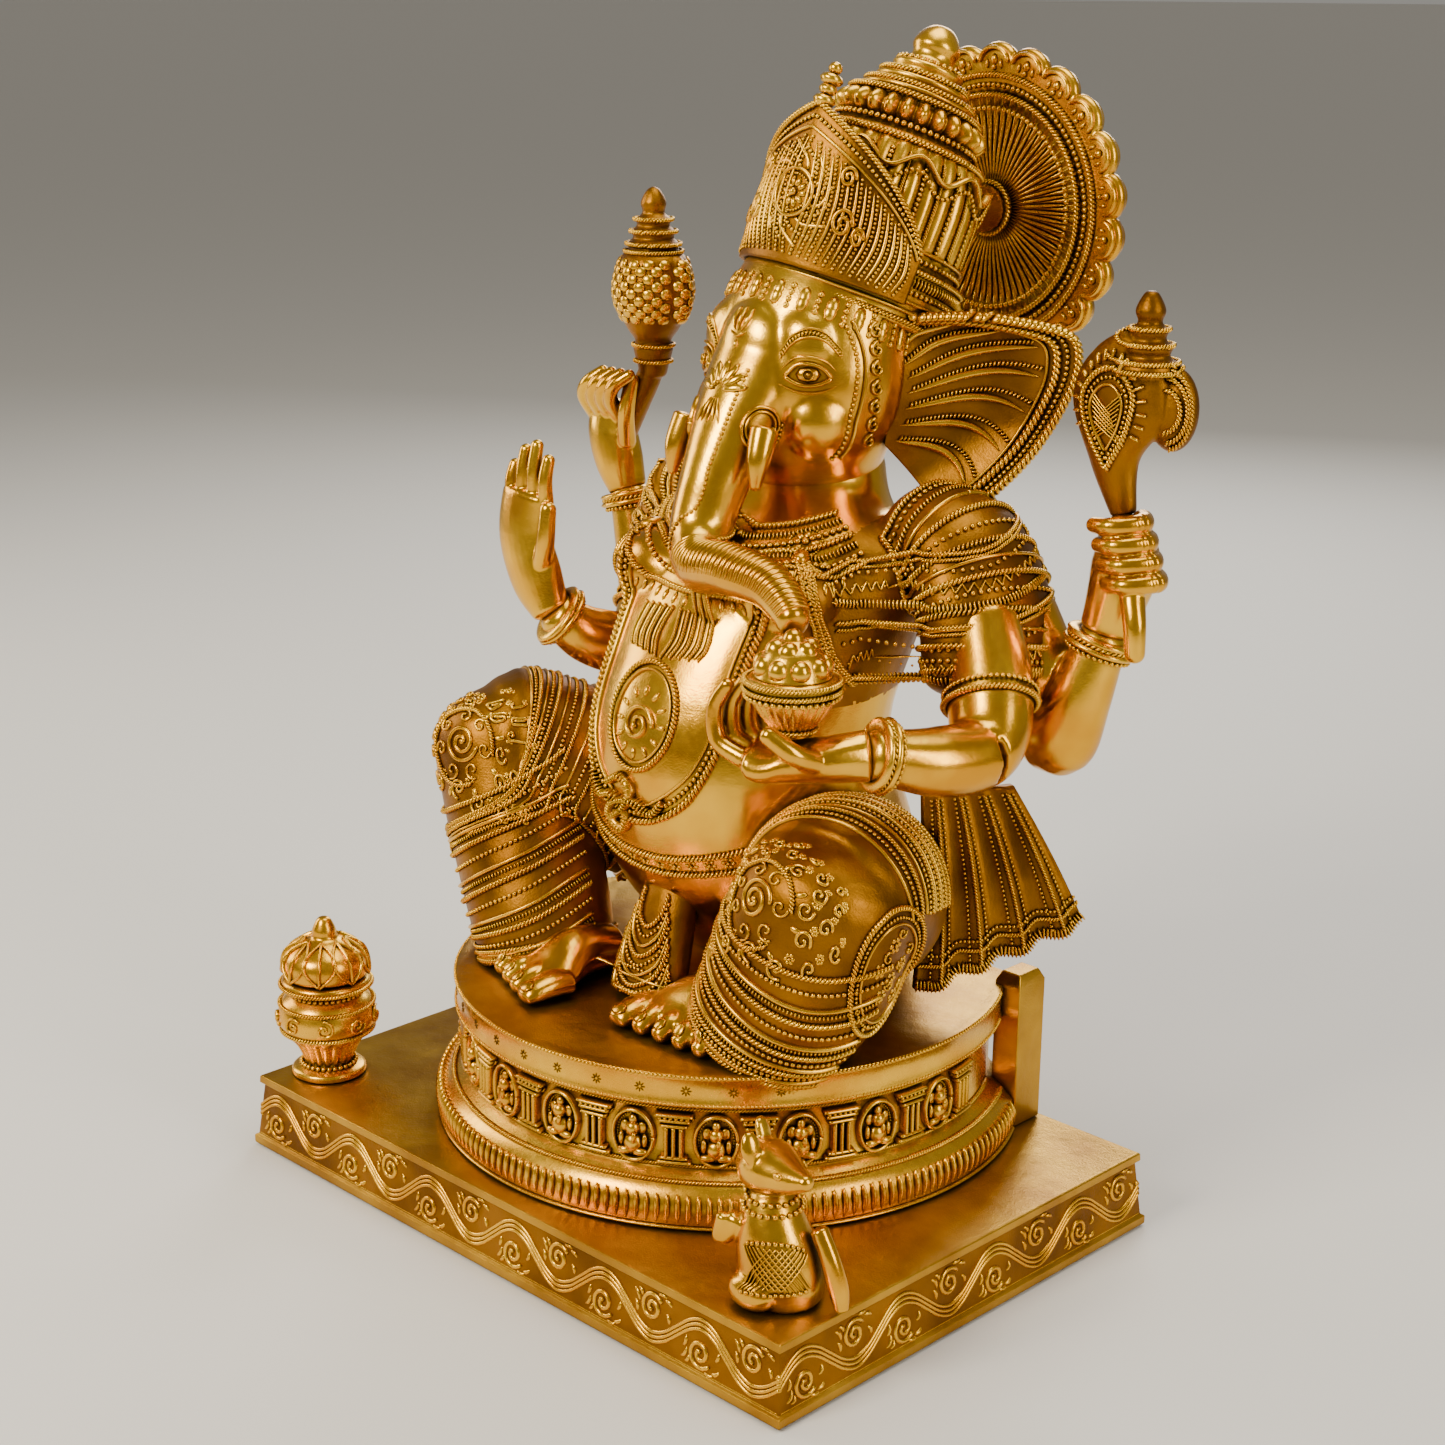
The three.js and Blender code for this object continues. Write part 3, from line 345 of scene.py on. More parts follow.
class Chasing:
    """Raised ornament gathered into one mesh."""

    def __init__(self):
        self.points, self.quads, self.count = [], [], 0

    def add(self, points, quads):
        self.points.append(np.asarray(points, float))
        self.quads.append(np.asarray(quads) + self.count)
        self.count += len(points)

    def grains(self, spots, along, ups, length, width, height):
        """Ellipsoids at spots, long axis `along`; sizes may be numbers or one per spot."""
        along = unit(along - ups * np.sum(along * ups, 1)[:, None])
        across = np.cross(ups, along)
        size = [np.broadcast_to(np.asarray(v, float), len(spots))[:, None, None] for v in (length,
            width, height)]
        body = (spots[:, None] + along[:, None] * GRAIN_POINTS[None, :, :1] * size[0]
                + across[:, None] * GRAIN_POINTS[None, :, 1:2] * size[1]
                + ups[:, None] * GRAIN_POINTS[None, :, 2:] * size[2])
        faces = GRAIN_FACES[None] + (np.arange(len(spots)) * len(GRAIN_POINTS))[:, None, None]
        self.add(body.reshape(-1, 3), faces.reshape(-1, 4))

    def beads(self, path, radius, pitch=None, lift=0.2):
        spots, ups = evenly(*path, pitch or radius * 2.1)
        self.grains(spots + ups * radius * (lift + 0.25), np.gradient(spots, axis=0), ups, radius,
            radius, radius)

    def rope(self, path, radius, slant=0.8):
        """Slanted grains close together, which read as a twisted cord."""
        spots, ups = evenly(*path, radius * 1.15)
        along = unit(np.gradient(spots, axis=0))
        leaning = along + np.cross(ups, along) * slant
        self.grains(spots + ups * radius * 0.3, leaning, ups, radius * 1.35, radius * 0.52, radius * 1.15)

    def hatch(self, path, width, pitch=1.5, height=0.5, slant=0.0):
        """Short ridges across a band."""
        spots, ups = evenly(*path, pitch)
        along = unit(np.gradient(spots, axis=0))
        across = np.cross(ups, along) + along * slant
        self.grains(spots + ups * height * 0.2, across, ups, width / 2, pitch * 0.33, height * RELIEF)

    def line(self, path, width, height=0.6, taper=False):
        """Plain raised line with a rounded section."""
        spots, ups = evenly(*path, max(width * 0.7, 0.8))
        along = unit(np.gradient(spots, axis=0))
        across = np.cross(ups, along)
        swell = np.sin(np.linspace(0, np.pi, len(spots))) ** 0.6 if taper else np.ones(len(spots))
        swell = np.maximum(swell, 0.12)[:, None, None]
        turn = np.linspace(0, 2 * np.pi, 8, endpoint=False)
        ring = (spots[:, None] + across[:, None] * (np.cos(turn) * width / 2)[None, :, None] * swell
                + ups[:, None] * (np.sin(turn) * height * RELIEF)[None, :, None] * swell)
        last = (len(spots) - 1) * 8
        self.add(ring.reshape(-1, 3), np.concatenate([grid_faces(len(spots), 8), TUBE_CAP[:, ::-1],
            TUBE_CAP + last]))

    def petal(self, spot, direction, up, length, width, height):
        self.grains(np.array([spot], float), np.array([direction], float), unit([up]), length, width,
            height)

    def piece(self, name, finish="chased", slot="chased_brass", replaces=()):
        mesh = mesh_of(name, np.concatenate(self.points), np.concatenate(self.quads), weld=False)
        print(name, "has", len(mesh.polygons), "faces")
        return piece(name, mesh, finish, replaces)


def drawn(skin, points):
    """Smooth path through given points, laid on a skin: returns spots and normals."""
    points = np.asarray(points, float)
    length = np.sum(np.linalg.norm(np.diff(points, axis=0), axis=1))
    count = max(int(length), 4)
    path = smooth(points, np.linspace(0, len(points) - 1, count))
    return skin.snap(path)


class Patch:
    """Flat drawing board laid on a skin: x and y in millimetres from a centre, snapped to the surface."""

    def __init__(self, skin, centre, up=(0, 0, 1)):
        self.skin = skin
        spots, normals = skin.snap([centre])
        self.centre, self.normal = spots[0], normals[0]
        self.y = unit(np.array(up, float) - self.normal * np.dot(up, self.normal))
        self.x = np.cross(self.y, self.normal)

    def draw(self, xy, step=0.8):
        xy = np.asarray(xy, float)
        length = np.sum(np.linalg.norm(np.diff(xy, axis=0), axis=1))
        flat = smooth(xy, np.linspace(0, len(xy) - 1, max(int(length / step), 4)))
        return self.skin.snap(self.centre + flat[:, :1] * self.x + flat[:, 1:] * self.y)

    def at(self, x, y):
        spots, normals = self.skin.snap([self.centre + x * self.x + y * self.y])
        return spots[0], normals[0]


def spiral(centre, radius, turns, start=0.0, hand=1, inner=0.15):
    """Flat points of a scroll that winds in to its eye."""
    k = np.linspace(0, 1, int(14 * turns) + 4)
    reach = radius * (1 - (1 - inner) * k)
    angle = start + hand * 2 * np.pi * turns * k
    return np.stack([centre[0] + reach * np.cos(angle), centre[1] + reach * np.sin(angle)], 1)


def circle(centre, radius, count=24, sweep=2 * np.pi):
    angle = np.linspace(0, sweep, count + 1)
    return np.stack([centre[0] + radius * np.cos(angle), centre[1] + radius * np.sin(angle)], 1)


def rosette(chasing, patch, x, y, radius, petals=8, ring=True):
    """Round boss with petals, a centre bead and a bead ring."""
    spot, up = patch.at(x, y)
    chasing.petal(spot + up * radius * 0.08, patch.x, up, radius * 0.26, radius * 0.26, radius * 0.26)
    for k in range(petals):
        angle = 2 * math.pi * k / petals
        leaf, normal = patch.at(x + 0.62 * radius * math.cos(angle), y + 0.62 * radius * math.sin(angle))
        way = patch.x * math.cos(angle) + patch.y * math.sin(angle)
        chasing.petal(leaf, way, normal, radius * 0.34, radius * 0.62 * math.pi / petals, radius * 0.14)
    if ring:
        chasing.beads(patch.draw(circle((x, y), radius * 1.08)), max(radius * 0.09, 0.5))


print("punches ready:", len(GRAIN_POINTS), "points to a grain")

# %% [markdown]
# ## The metal
# Brass is copper and zinc: a warm yellow metal. Four finishes of it cover the figure, and a darker one
# is kept for marks stamped on the drum. Smooth places are buffed, chased places keep a brown patina
# between the punch marks, and the plate's top is only satin. The patina follows the recesses, so an
# ambient occlusion node with a reach of a few millimetres finds them.
# %% Colours and the node helper
def linear(hex_code):
    """sRGB hex to linear RGBA."""
    parts = [int(hex_code[k:k + 2], 16) / 255 for k in (1, 3, 5)]
    return (*[c / 12.92 if c <= 0.04045 else ((c + 0.055) / 1.055) ** 2.4 for c in parts], 1.0)


def add(tree, kind, inputs=None, **settings):
    """Adds a node; inputs maps a socket to a value or to another node's output socket."""
    node = tree.nodes.new(kind)
    for name, value in settings.items():
        setattr(node, name, value)
    for socket, value in (inputs or {}).items():
        if isinstance(value, bpy.types.NodeSocket):
            tree.links.new(value, node.inputs[socket])
        else:
            node.inputs[socket].default_value = value
    return node


def ramp(tree, source, stops):
    """Colour ramp from (place, colour) stops."""
    node = add(tree, "ShaderNodeValToRGB", {"Fac": source})
    while len(node.color_ramp.elements) < len(stops):
        node.color_ramp.elements.new(0.5)
    for element, (place, shade) in zip(node.color_ramp.elements, stops):
        element.position = place
        element.color = shade
    return node.outputs["Color"]


def grey(value):
    return (value, value, value, 1.0)


# %% [markdown]
# ## Four brass finishes
# One function makes every brass. A broad noise varies the tone and a finer one breaks up the edge of
# the patina and the gloss. The recess colour comes in where the occlusion is strong, and a low bump
# stands for buffing marks and the cast skin. Screws, where the frame has any, get a grey steel.
# %% Brass finishes
def brass(name, bright, warm, recess, rough, reach, depth, scratch):
    """Cast brass: colours in hex, reach of the patina in millimetres, depth of patina from 0 to 1."""
    material = bpy.data.materials.new(name)
    material.use_nodes = True
    tree = material.node_tree
    shader = tree.nodes["Principled BSDF"]
    shader.inputs["Metallic"].default_value = 1.0
    place = add(tree, "ShaderNodeTexCoord").outputs["Object"]
    cloud = add(tree, "ShaderNodeTexNoise", {"Vector": place, "Scale": 0.028 / MM,
        "Detail": 3.0}).outputs["Fac"]
    mottle = add(tree, "ShaderNodeTexNoise", {"Vector": place, "Scale": 0.35 / MM,
        "Detail": 4.0}).outputs["Fac"]
    metal = ramp(tree, cloud, [(0.35, linear(warm)), (0.65, linear(bright))])
    hollow = add(tree, "ShaderNodeAmbientOcclusion", {"Distance": reach * MM}, samples=6).outputs["AO"]
    ragged = add(tree, "ShaderNodeMath", {0: mottle, 1: 0.22, 2: -0.11},
        operation="MULTIPLY_ADD").outputs[0]
    edge = add(tree, "ShaderNodeMath", {0: hollow, 1: ragged}, operation="ADD").outputs[0]
    clean = ramp(tree, edge, [(0.30, grey(1.0 - depth)), (0.52, grey(1.0 - depth * 0.55)),
        (0.78, grey(1.0))])
    tone = add(tree, "ShaderNodeMix", {0: clean, 6: linear(recess), 7: metal}, data_type="RGBA")
    tree.links.new(tone.outputs[2], shader.inputs["Base Color"])
    dull = ramp(tree, clean, [(0.0, grey(0.62)), (1.0, grey(rough))])
    wear = add(tree, "ShaderNodeMath", {0: mottle, 1: 0.14, 2: -0.07},
        operation="MULTIPLY_ADD").outputs[0]
    tree.links.new(add(tree, "ShaderNodeMath", {0: dull, 1: wear}, operation="ADD").outputs[0],
                   shader.inputs["Roughness"])
    fine = add(tree, "ShaderNodeTexNoise", {"Vector": place, "Scale": 1.1 / MM,
        "Detail": 5.0}).outputs["Fac"]
    soft = add(tree, "ShaderNodeTexNoise", {"Vector": place, "Scale": 0.09 / MM,
        "Detail": 2.0}).outputs["Fac"]
    relief = add(tree, "ShaderNodeMath", {0: soft, 1: 3.0, 2: fine}, operation="MULTIPLY_ADD").outputs[0]
    bump = add(tree, "ShaderNodeBump", {"Height": relief, "Strength": scratch, "Distance": 0.5 * MM})
    tree.links.new(bump.outputs["Normal"], shader.inputs["Normal"])
    return material


FINISH["polished"] = brass("buffed_cast_brass", "#f4bc30", "#dc9a1c", "#321b03", 0.22, 8.0, 0.9, 0.12)
FINISH["satin"] = brass("satin_cast_brass", "#cd9c2c", "#a8761a", "#3a2408", 0.36, 6.0, 0.8, 0.35)
FINISH["chased"] = brass("chased_brass", "#f7c034", "#de9c1c", "#2b1804", 0.27, 4.5, 0.97, 0.10)
FINISH["ground"] = brass("patinated_ground", "#a06a10", "#734706", "#180c01", 0.42, 6.0, 0.98, 0.3)
steel = bpy.data.materials.new("zinc_plated_steel")
steel.use_nodes = True
STEEL_SHADER = steel.node_tree.nodes["Principled BSDF"]
STEEL_SHADER.inputs["Metallic"].default_value = 1.0
STEEL_GRAIN = add(steel.node_tree, "ShaderNodeTexNoise", {"Scale": 0.8 / MM,
    "Detail": 3.0}).outputs["Fac"]
steel.node_tree.links.new(ramp(steel.node_tree, STEEL_GRAIN, [(0.3, linear("#8d9196")),
    (0.7, linear("#b9bdc2"))]), STEEL_SHADER.inputs["Base Color"])
steel.node_tree.links.new(ramp(steel.node_tree, STEEL_GRAIN, [(0.3, grey(0.28)), (0.7, grey(0.42))]),
                          STEEL_SHADER.inputs["Roughness"])
FINISH["steel"] = steel
for node_name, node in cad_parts.items():
    node.data.materials.clear()
    node.data.materials.append(FINISH["steel" if "screw" in node_name else "polished"])
print("finishes:", sorted(FINISH))

# %% [markdown]
# ## Studio
# A pale floor and wide soft lamps. Metal only shows what it reflects, so the dim world and the bright
# lamps matter as much as the colour of the brass.
# %% Floor, lamps and world
floor_mesh = bpy.data.meshes.new("floor")
floor_mesh.from_pydata([(-60, -60, 0), (60, -60, 0), (60, 60, 0), (-60, 60, 0)], [], [(0, 1, 2, 3)])
floor = bpy.data.objects.new("floor", floor_mesh)
bpy.context.scene.collection.objects.link(floor)
floor.location.z = CAD_BOX[0][2] - 0.0002
paper = bpy.data.materials.new("matt_paper_floor")
paper.use_nodes = True
paper.node_tree.nodes["Principled BSDF"].inputs["Base Color"].default_value = linear("#dedad2")
paper.node_tree.nodes["Principled BSDF"].inputs["Roughness"].default_value = 0.75
floor.data.materials.append(paper)


def lamp(name, spot, aim, size, power, tint="#ffffff"):
    data = bpy.data.lights.new(name, "AREA")
    data.shape = "RECTANGLE"
    data.size, data.size_y = size
    data.energy = power
    data.color = linear(tint)[:3]
    thing = bpy.data.objects.new(name, data)
    bpy.context.scene.collection.objects.link(thing)
    thing.location = spot
    thing.rotation_euler = (Vector(aim) - Vector(spot)).to_track_quat("-Z", "Y").to_euler()


MIDDLE = (0.0, 0.03, 0.26)
lamp("key", (-0.15, -1.5, 1.35), MIDDLE, (0.6, 0.6), 34, "#fff6e2")
lamp("side", (1.7, 0.15, 0.9), MIDDLE, (0.5, 1.1), 16, "#fff6e8")
lamp("left", (-1.5, -0.5, 0.7), MIDDLE, (0.5, 1.0), 11, "#fff6e8")
lamp("top", (0.1, 0.3, 1.7), MIDDLE, (0.9, 0.9), 14)
lamp("back", (-0.9, 1.5, 1.0), MIDDLE, (0.8, 0.8), 14)
world = bpy.data.worlds.new("studio")
world.use_nodes = True
world.node_tree.nodes["Background"].inputs["Color"].default_value = linear("#d8d4cc")
world.node_tree.nodes["Background"].inputs["Strength"].default_value = 0.42
bpy.context.scene.world = world

# %% [markdown]
# ## The smooth castings
# The body is pot-bellied and heavy-shouldered. It is cast in sections: torso, head with trunk, two bent
# legs, four arms. Each section here is a few lofts and ellipsoids fused into one skin, as wax is welded
# before casting. The ornament that is laid on later needs this smooth skin underneath.
# %% Torso with its capes and four arms
TORSO = Loft([[0, 78, 104, 60, 38], [0, 70, 135, 76, 52], [0, 53, 162, 78, 62], [0, 38, 190, 74, 68],
              [0, 34, 216, 70, 70], [0, 41, 248, 69, 63], [0, 56, 282, 76, 54], [0, 69, 308, 78, 42],
              [0, 76, 330, 44, 33], [0, 78, 346, 36, 32]], domes=(0.1, 0.3))
CAPE_LEFT = Loft([[62, 84, 320, 20, 26], [86, 84, 313, 25, 32], [104, 80, 290, 25, 34], [112, 74, 262,
    23, 33]], side=(0.7, 0, 0.7))
CAPE_RIGHT = Loft([[-58, 86, 320, 20, 26], [-76, 86, 312, 22, 30], [-86, 84, 290, 21, 32],
    [-88, 80, 266, 19, 32]], side=(0.7, 0, 0.7))
ARM_SIDE = (0, 1, 0.15)
ARMS = {
    "front_left": Loft([[112, 68, 286, 17, 19], [128, 56, 260, 18, 20], [138, 40, 241, 16, 18],
                        [135, 12, 241, 15, 15], [124, -14, 247, 11, 11]], side=ARM_SIDE),
    "rear_left": Loft([[112, 94, 286, 17, 18], [128, 96, 256, 17, 18], [138, 92, 236, 17, 18],
                       [148, 92, 256, 14, 15], [156, 97, 284, 11, 11]], side=ARM_SIDE),
    "front_right": Loft([[-86, 74, 286, 16, 18], [-84, 58, 262, 16, 18], [-80, 42, 246, 16, 16],
                         [-86, 18, 252, 14, 14], [-93, 3, 264, 10.5, 10.5]], side=ARM_SIDE),
    "rear_right": Loft([[-88, 96, 288, 17, 17], [-116, 102, 258, 16, 16], [-134, 104, 246, 15, 16],
                        [-143, 105, 272, 13, 13], [-151, 105, 300, 10.5, 10.5]], side=ARM_SIDE),
}
torso_mesh = fused("torso_casting", [
    TORSO.body(), CAPE_LEFT.body(), CAPE_RIGHT.body(),
    ball((38, 20, 294), (28, 20, 19), (0, 0, 12)), ball((-38, 20, 294), (28, 20, 19), (0, 0, -12)),
    ball((0, 34, 214), (68, 68, 60)),
], voxel=1.6, rounds=14)
torso = piece("torso_casting", torso_mesh, "polished",
              ["torso", "shoulder_cape_left", "shoulder_cape_right"])
for arm_name, arm in ARMS.items():
    piece("arm_" + arm_name + "_casting", fused(arm_name, [arm.body()], voxel=1.1, rounds=8), "polished",
          ["arm_" + arm_name])
print("torso faces:", len(torso_mesh.polygons))

# %% [markdown]
# ## Bent legs
# Each leg is two lofts, a thigh and a shin, that melt into one casting at the knee. Two are used
# because a single loft bent this sharply would fold through itself. A third short loft hangs between
# the shins as the front fall of cloth.
# %% Legs, feet and the cloth between them
THIGH_SIDE = (0, 1, 0.4)
THIGHS = {"left": Loft([[50, 66, 146, 34, 38], [78, 26, 164, 42, 44], [98, -8, 174, 43, 43],
    [102, -20, 174, 38, 38]], side=THIGH_SIDE, domes=(0.5, 0.6)), "right": Loft([[-50, 66, 150, 34, 38],
    [-82, 32, 174, 40, 44], [-110, -2, 195, 38, 40], [-117, -12, 199, 34, 36]], side=THIGH_SIDE,
    domes=(0.5, 0.6)),}
SHINS = {"left": Loft([[103, -18, 178, 40, 40], [96, -24, 150, 42, 38], [82, -28, 122, 38, 33],
    [76, -29, 107, 35, 30]], domes=(0.8, 0.02)), "right": Loft([[-117, -10, 199, 34, 36],
    [-98, -16, 162, 35, 36], [-74, -26, 126, 34, 34], [-66, -28, 107, 32, 32]], domes=(0.8, 0.02)),}
PLEATS = Loft([[0, -2, 172, 12, 8], [2, -14, 150, 16, 10], [4, -24, 126, 19, 11], [5, -30, 109, 20, 12]],
              domes=(0.5, 0.05))
LEG_MESHES = {}
for hand in ("left", "right"):
    LEG_MESHES[hand] = fused("leg", [THIGHS[hand].body(), SHINS[hand].body(rings=48)], voxel=1.4,
        rounds=10)
    piece("leg_" + hand + "_casting", LEG_MESHES[hand], "ground", ["leg_" + hand])
pleats_mesh = fused("pleats", [PLEATS.body()], voxel=1.0, rounds=4)
piece("front_pleats_casting", pleats_mesh, "ground", ["front_pleats"])
print("leg faces:", len(LEG_MESHES["left"].polygons))

# %% [markdown]
# ## Feet
# The soles lie flat on the deck and the toes sit side by side. Each toe is a short loft that bends down
# at its tip and is melted to the instep. Points that would sink into the deck are lifted to just above
# it.
# %% Bare feet with five toes
DECK_TOP = 106.3
FEET = {"left": ((47, -37), -8, -1), "right": ((-45, -42), -12, 1)}


def foot(spot, turn, inner):
    """One bare foot: an instep that runs back under the hem, and five toes that bend down."""
    parts = [Loft([[0, 28, 10, 15, 10], [0, 8, 12, 20, 13], [0, -10, 7, 29, 8], [0, -17, 5.5, 28, 6]],
                  domes=(0.5, 0.6)).body(rings=24, around=32)]
    for k in range(5):
        x = inner * (23.5 - 11.6 * k - (1.5 if k else 0))
        wide = 7.6 if k == 0 else 5.7 - 0.25 * k
        tip = -29 + 2.2 * k
        parts.append(Loft([[x, -8, 7, wide, 5.5], [x, -17, 7.2, wide, 5.8], [x, tip + 3, 5.6,
            wide * 0.94, 5.0], [x, tip - 1, 4.0, wide * 0.8, 3.6]], side=(1, 0, 0)).body(rings=14,
            around=20))
    points, quads = joined(parts)
    angle = math.radians(turn)
    spin = np.array([[math.cos(angle), math.sin(angle), 0], [-math.sin(angle), math.cos(angle), 0],
        [0, 0, 1]])
    points[:, 2] = np.maximum(points[:, 2], 0.2)
    return points @ spin + np.array([spot[0], spot[1], DECK_TOP]), quads


FOOT_MESHES = {}
for hand, (spot, turn, inner) in FEET.items():
    FOOT_MESHES[hand] = fused("foot", [foot(spot, turn, inner)], voxel=0.7, rounds=4)
    piece("foot_" + hand + "_casting", FOOT_MESHES[hand], "polished", ["foot_" + hand])
print("foot faces:", len(FOOT_MESHES["left"].polygons))

# %% [markdown]
# ## Head and trunk
# The head is an upright loft, with ellipsoids added for the cheeks and the forehead. The trunk begins
# between the eyes, hangs in front of the chest and then turns to the figure's own left, towards the
# sweets. All are melted together, so that no seam shows at the root.
# %% Head, cheeks and trunk
HEAD = Loft([[0, 80, 338, 33, 30], [2, 72, 360, 44, 40], [4, 71, 380, 48, 46], [5, 76, 402, 47, 44],
             [7, 86, 422, 43, 40], [10, 94, 436, 36, 34]], domes=(0.1, 0.5))
TRUNK = Loft([[3, 46, 398, 19, 22], [3, 40, 390, 19, 24], [3, 24, 366, 17, 20], [3, 12, 342, 15.5, 16],
    [4, 2, 320, 14, 14], [16, -10, 309, 11.5, 12.5], [42, -18, 312, 11, 10.5], [70, -22, 310, 9.5, 9.5],
    [91, -29, 300, 7, 8]], side=(0, 1, 0.6))
head_mesh = fused("head", [HEAD.body(), TRUNK.body(rings=70), ball((30, 54, 368), (17, 22, 20)),
    ball((-24, 54, 368), (17, 22, 20)), ball((22, 48, 400), (20, 16, 20)), ball((-14, 48, 400),
    (20, 16, 20)), ball((4, 40, 396), (22, 16, 24)),], voxel=1.2, rounds=12)
piece("head_casting", head_mesh, "polished", ["head", "trunk"])
print("head faces:", len(head_mesh.polygons))

# %% [markdown]
# ## Base plate
# The plate is a flat casting with flared sides. Its sides carry a running wave scroll, raised on a dark
# ground, between a plain foot lip and a line of beads under the top edge. The wave is drawn on each
# side as a plane, with a curl in every bay.
# %% Plate body with scrolls
HALF_X, HALF_Y, PLATE_TOP, LIP, FLARE = 175.0, 120.0, 37.0, 5.0, 3.8
FOOT_X, FOOT_Y = HALF_X + FLARE, HALF_Y + FLARE


def slab_rings(rings):
    """Closed box-like body from rings of half x, half y, z."""
    points = []
    for hx, hy, z in rings:
        points += [(-hx, -hy, z), (hx, -hy, z), (hx, hy, z), (-hx, hy, z)]
    quads = grid_faces(len(rings), 4).tolist()
    last = 4 * (len(rings) - 1)
    quads += [[3, 2, 1, 0], [last, last + 1, last + 2, last + 3]]
    return np.array(points, float), quads


def sharp_piece(name, points, quads, finish, replaces=(), bevel=0.5):
    """Piece with flat faces and small rounded edges."""
    thing = piece(name, mesh_of(name, points, quads), finish, replaces)
    soft = thing.modifiers.new("rounded_edges", "BEVEL")
    soft.width = bevel * MM
    soft.segments = 3
    soft.harden_normals = True
    return thing


plate_points, plate_quads = slab_rings([(FOOT_X - 1, FOOT_Y - 1, 0.3), (FOOT_X, FOOT_Y, 1.2),
    (FOOT_X, FOOT_Y, LIP), (FOOT_X - 1.6, FOOT_Y - 1.6, LIP + 0.8), (HALF_X - 0.6, HALF_Y - 0.6, 32.5),
    (HALF_X + 1.2, HALF_Y + 1.2, 33.2), (HALF_X + 1.0, HALF_Y + 1.0, 36.6), (HALF_X, HALF_Y,
    PLATE_TOP)])
sharp_piece("base_plate_casting", plate_points, plate_quads, "satin", ["base_plate"],
    0.4)
plate_mesh = bpy.data.objects["base_plate_casting"].data
plate_mesh.materials.append(FINISH["ground"])
for face in plate_mesh.polygons:
    face.material_index = int(abs(face.normal.z) < 0.5 and LIP < face.center.z / MM < 32)


class Flat:
    """Flat drawing board: x runs along the side, y up it."""

    def __init__(self, corner, along, up):
        self.corner, self.x, self.y = np.array(corner, float), unit(along), unit(up)
        self.normal = np.cross(self.x, self.y)

    def draw(self, xy, step=0.9):
        xy = np.asarray(xy, float)
        length = np.sum(np.linalg.norm(np.diff(xy, axis=0), axis=1))
        flat = smooth(xy, np.linspace(0, len(xy) - 1, max(int(length / step), 4)))
        spots = self.corner + flat[:, :1] * self.x + flat[:, 1:] * self.y
        return spots, np.tile(self.normal, (len(spots), 1))

    def at(self, x, y):
        return self.corner + x * self.x + y * self.y, self.normal


LEAN = 2.8  # how far the side leans in between the lip and the bead line
SIDES = [
    (Flat((-176, -121.6, LIP + 1), (1, 0, 0), (0, LEAN, 27)), 352),
    (Flat((176.6, -121, LIP + 1), (0, 1, 0), (-LEAN, 0, 27)), 242),
    (Flat((176, 121.6, LIP + 1), (-1, 0, 0), (0, -LEAN, 27)), 352),
    (Flat((-176.6, 121, LIP + 1), (0, -1, 0), (LEAN, 0, 27)), 242),
]
scrolls = Chasing()
for board, run in SIDES:
    bays = round(run / 29)
    bay = run / bays
    wave = [(bay * (k / 4), 13 + 8.2 * math.sin(math.pi * k / 4)) for k in range(bays * 4 + 1)]
    for shift in (-2.2, 0, 2.2):
        scrolls.line(board.draw([(x, y + shift) for x, y in wave]), 1.9, 0.9)
    for k in range(bays):
        up = 1 if k % 2 else -1
        x = bay * (k + 0.5)
        scrolls.line(board.draw(spiral((x - 0.5, 13 + up * 4.6), 6.6, 1.7, 0.6 * up, up)), 2.3, 1.1)
        for dx, dy, ex, ey in ((-12, 10, -8, 4), (-9.5, 11, -6.5, 7), (6, 10.5, 11, 8), (7.5, 5, 10, 0),
                               (-11, 5, -9, -1), (2, 11.5, 8, 11)):
            scrolls.line(board.draw([(x + dx, 13 + up * dy), (x + (dx + ex) / 2 + 1,
                13 + up * (dy + ey) / 2 + up), (x + ex, 13 + up * ey)]), 2.2, 1.0, True)
    scrolls.line(board.draw([(0, 0.4), (run, 0.4)], 3), 0.9, 0.5)
    scrolls.beads(board.draw([(1, 28.6), (run - 1, 28.6)], 3), 1.15, 2.5)
scrolls.piece("base_plate_scrolls")

# %% [markdown]
# ## Round pedestal
# A drum with a row of stamped stars under the deck, a frieze of fluted columns and small niches, and a
# reeded foot ring. Each niche holds a tiny seated elephant-headed figure, only a few blobs at this
# size. Two plain posts stand at the corners of its straight back. %% Drum, deck and posts
DRUM_Y, BACK = 28.0, 112.0
DRUM_POINTS_AROUND = 220
DRUM_PROFILE = [(136, 37.3), (138, 40), (138.4, 46), (137, 52), (131, 57), (125.5, 59.5), (124, 61),
    (124, 88), (126, 90.5), (130, 91.5), (130.3, 92.6), (129.5, 94), (129.5, 104), (130.4, 105),
    (129.6, 106.3)]


def plan(radius, back, count=DRUM_POINTS_AROUND):
    """Outline of the drum at one height: an arc closed by the straight back."""
    end = math.asin(min((back - DRUM_Y) / radius, 0.999))
    angle = np.linspace(math.pi - end, 2 * math.pi + end, count)
    return np.stack([radius * np.cos(angle), DRUM_Y + radius * np.sin(angle)], 1)


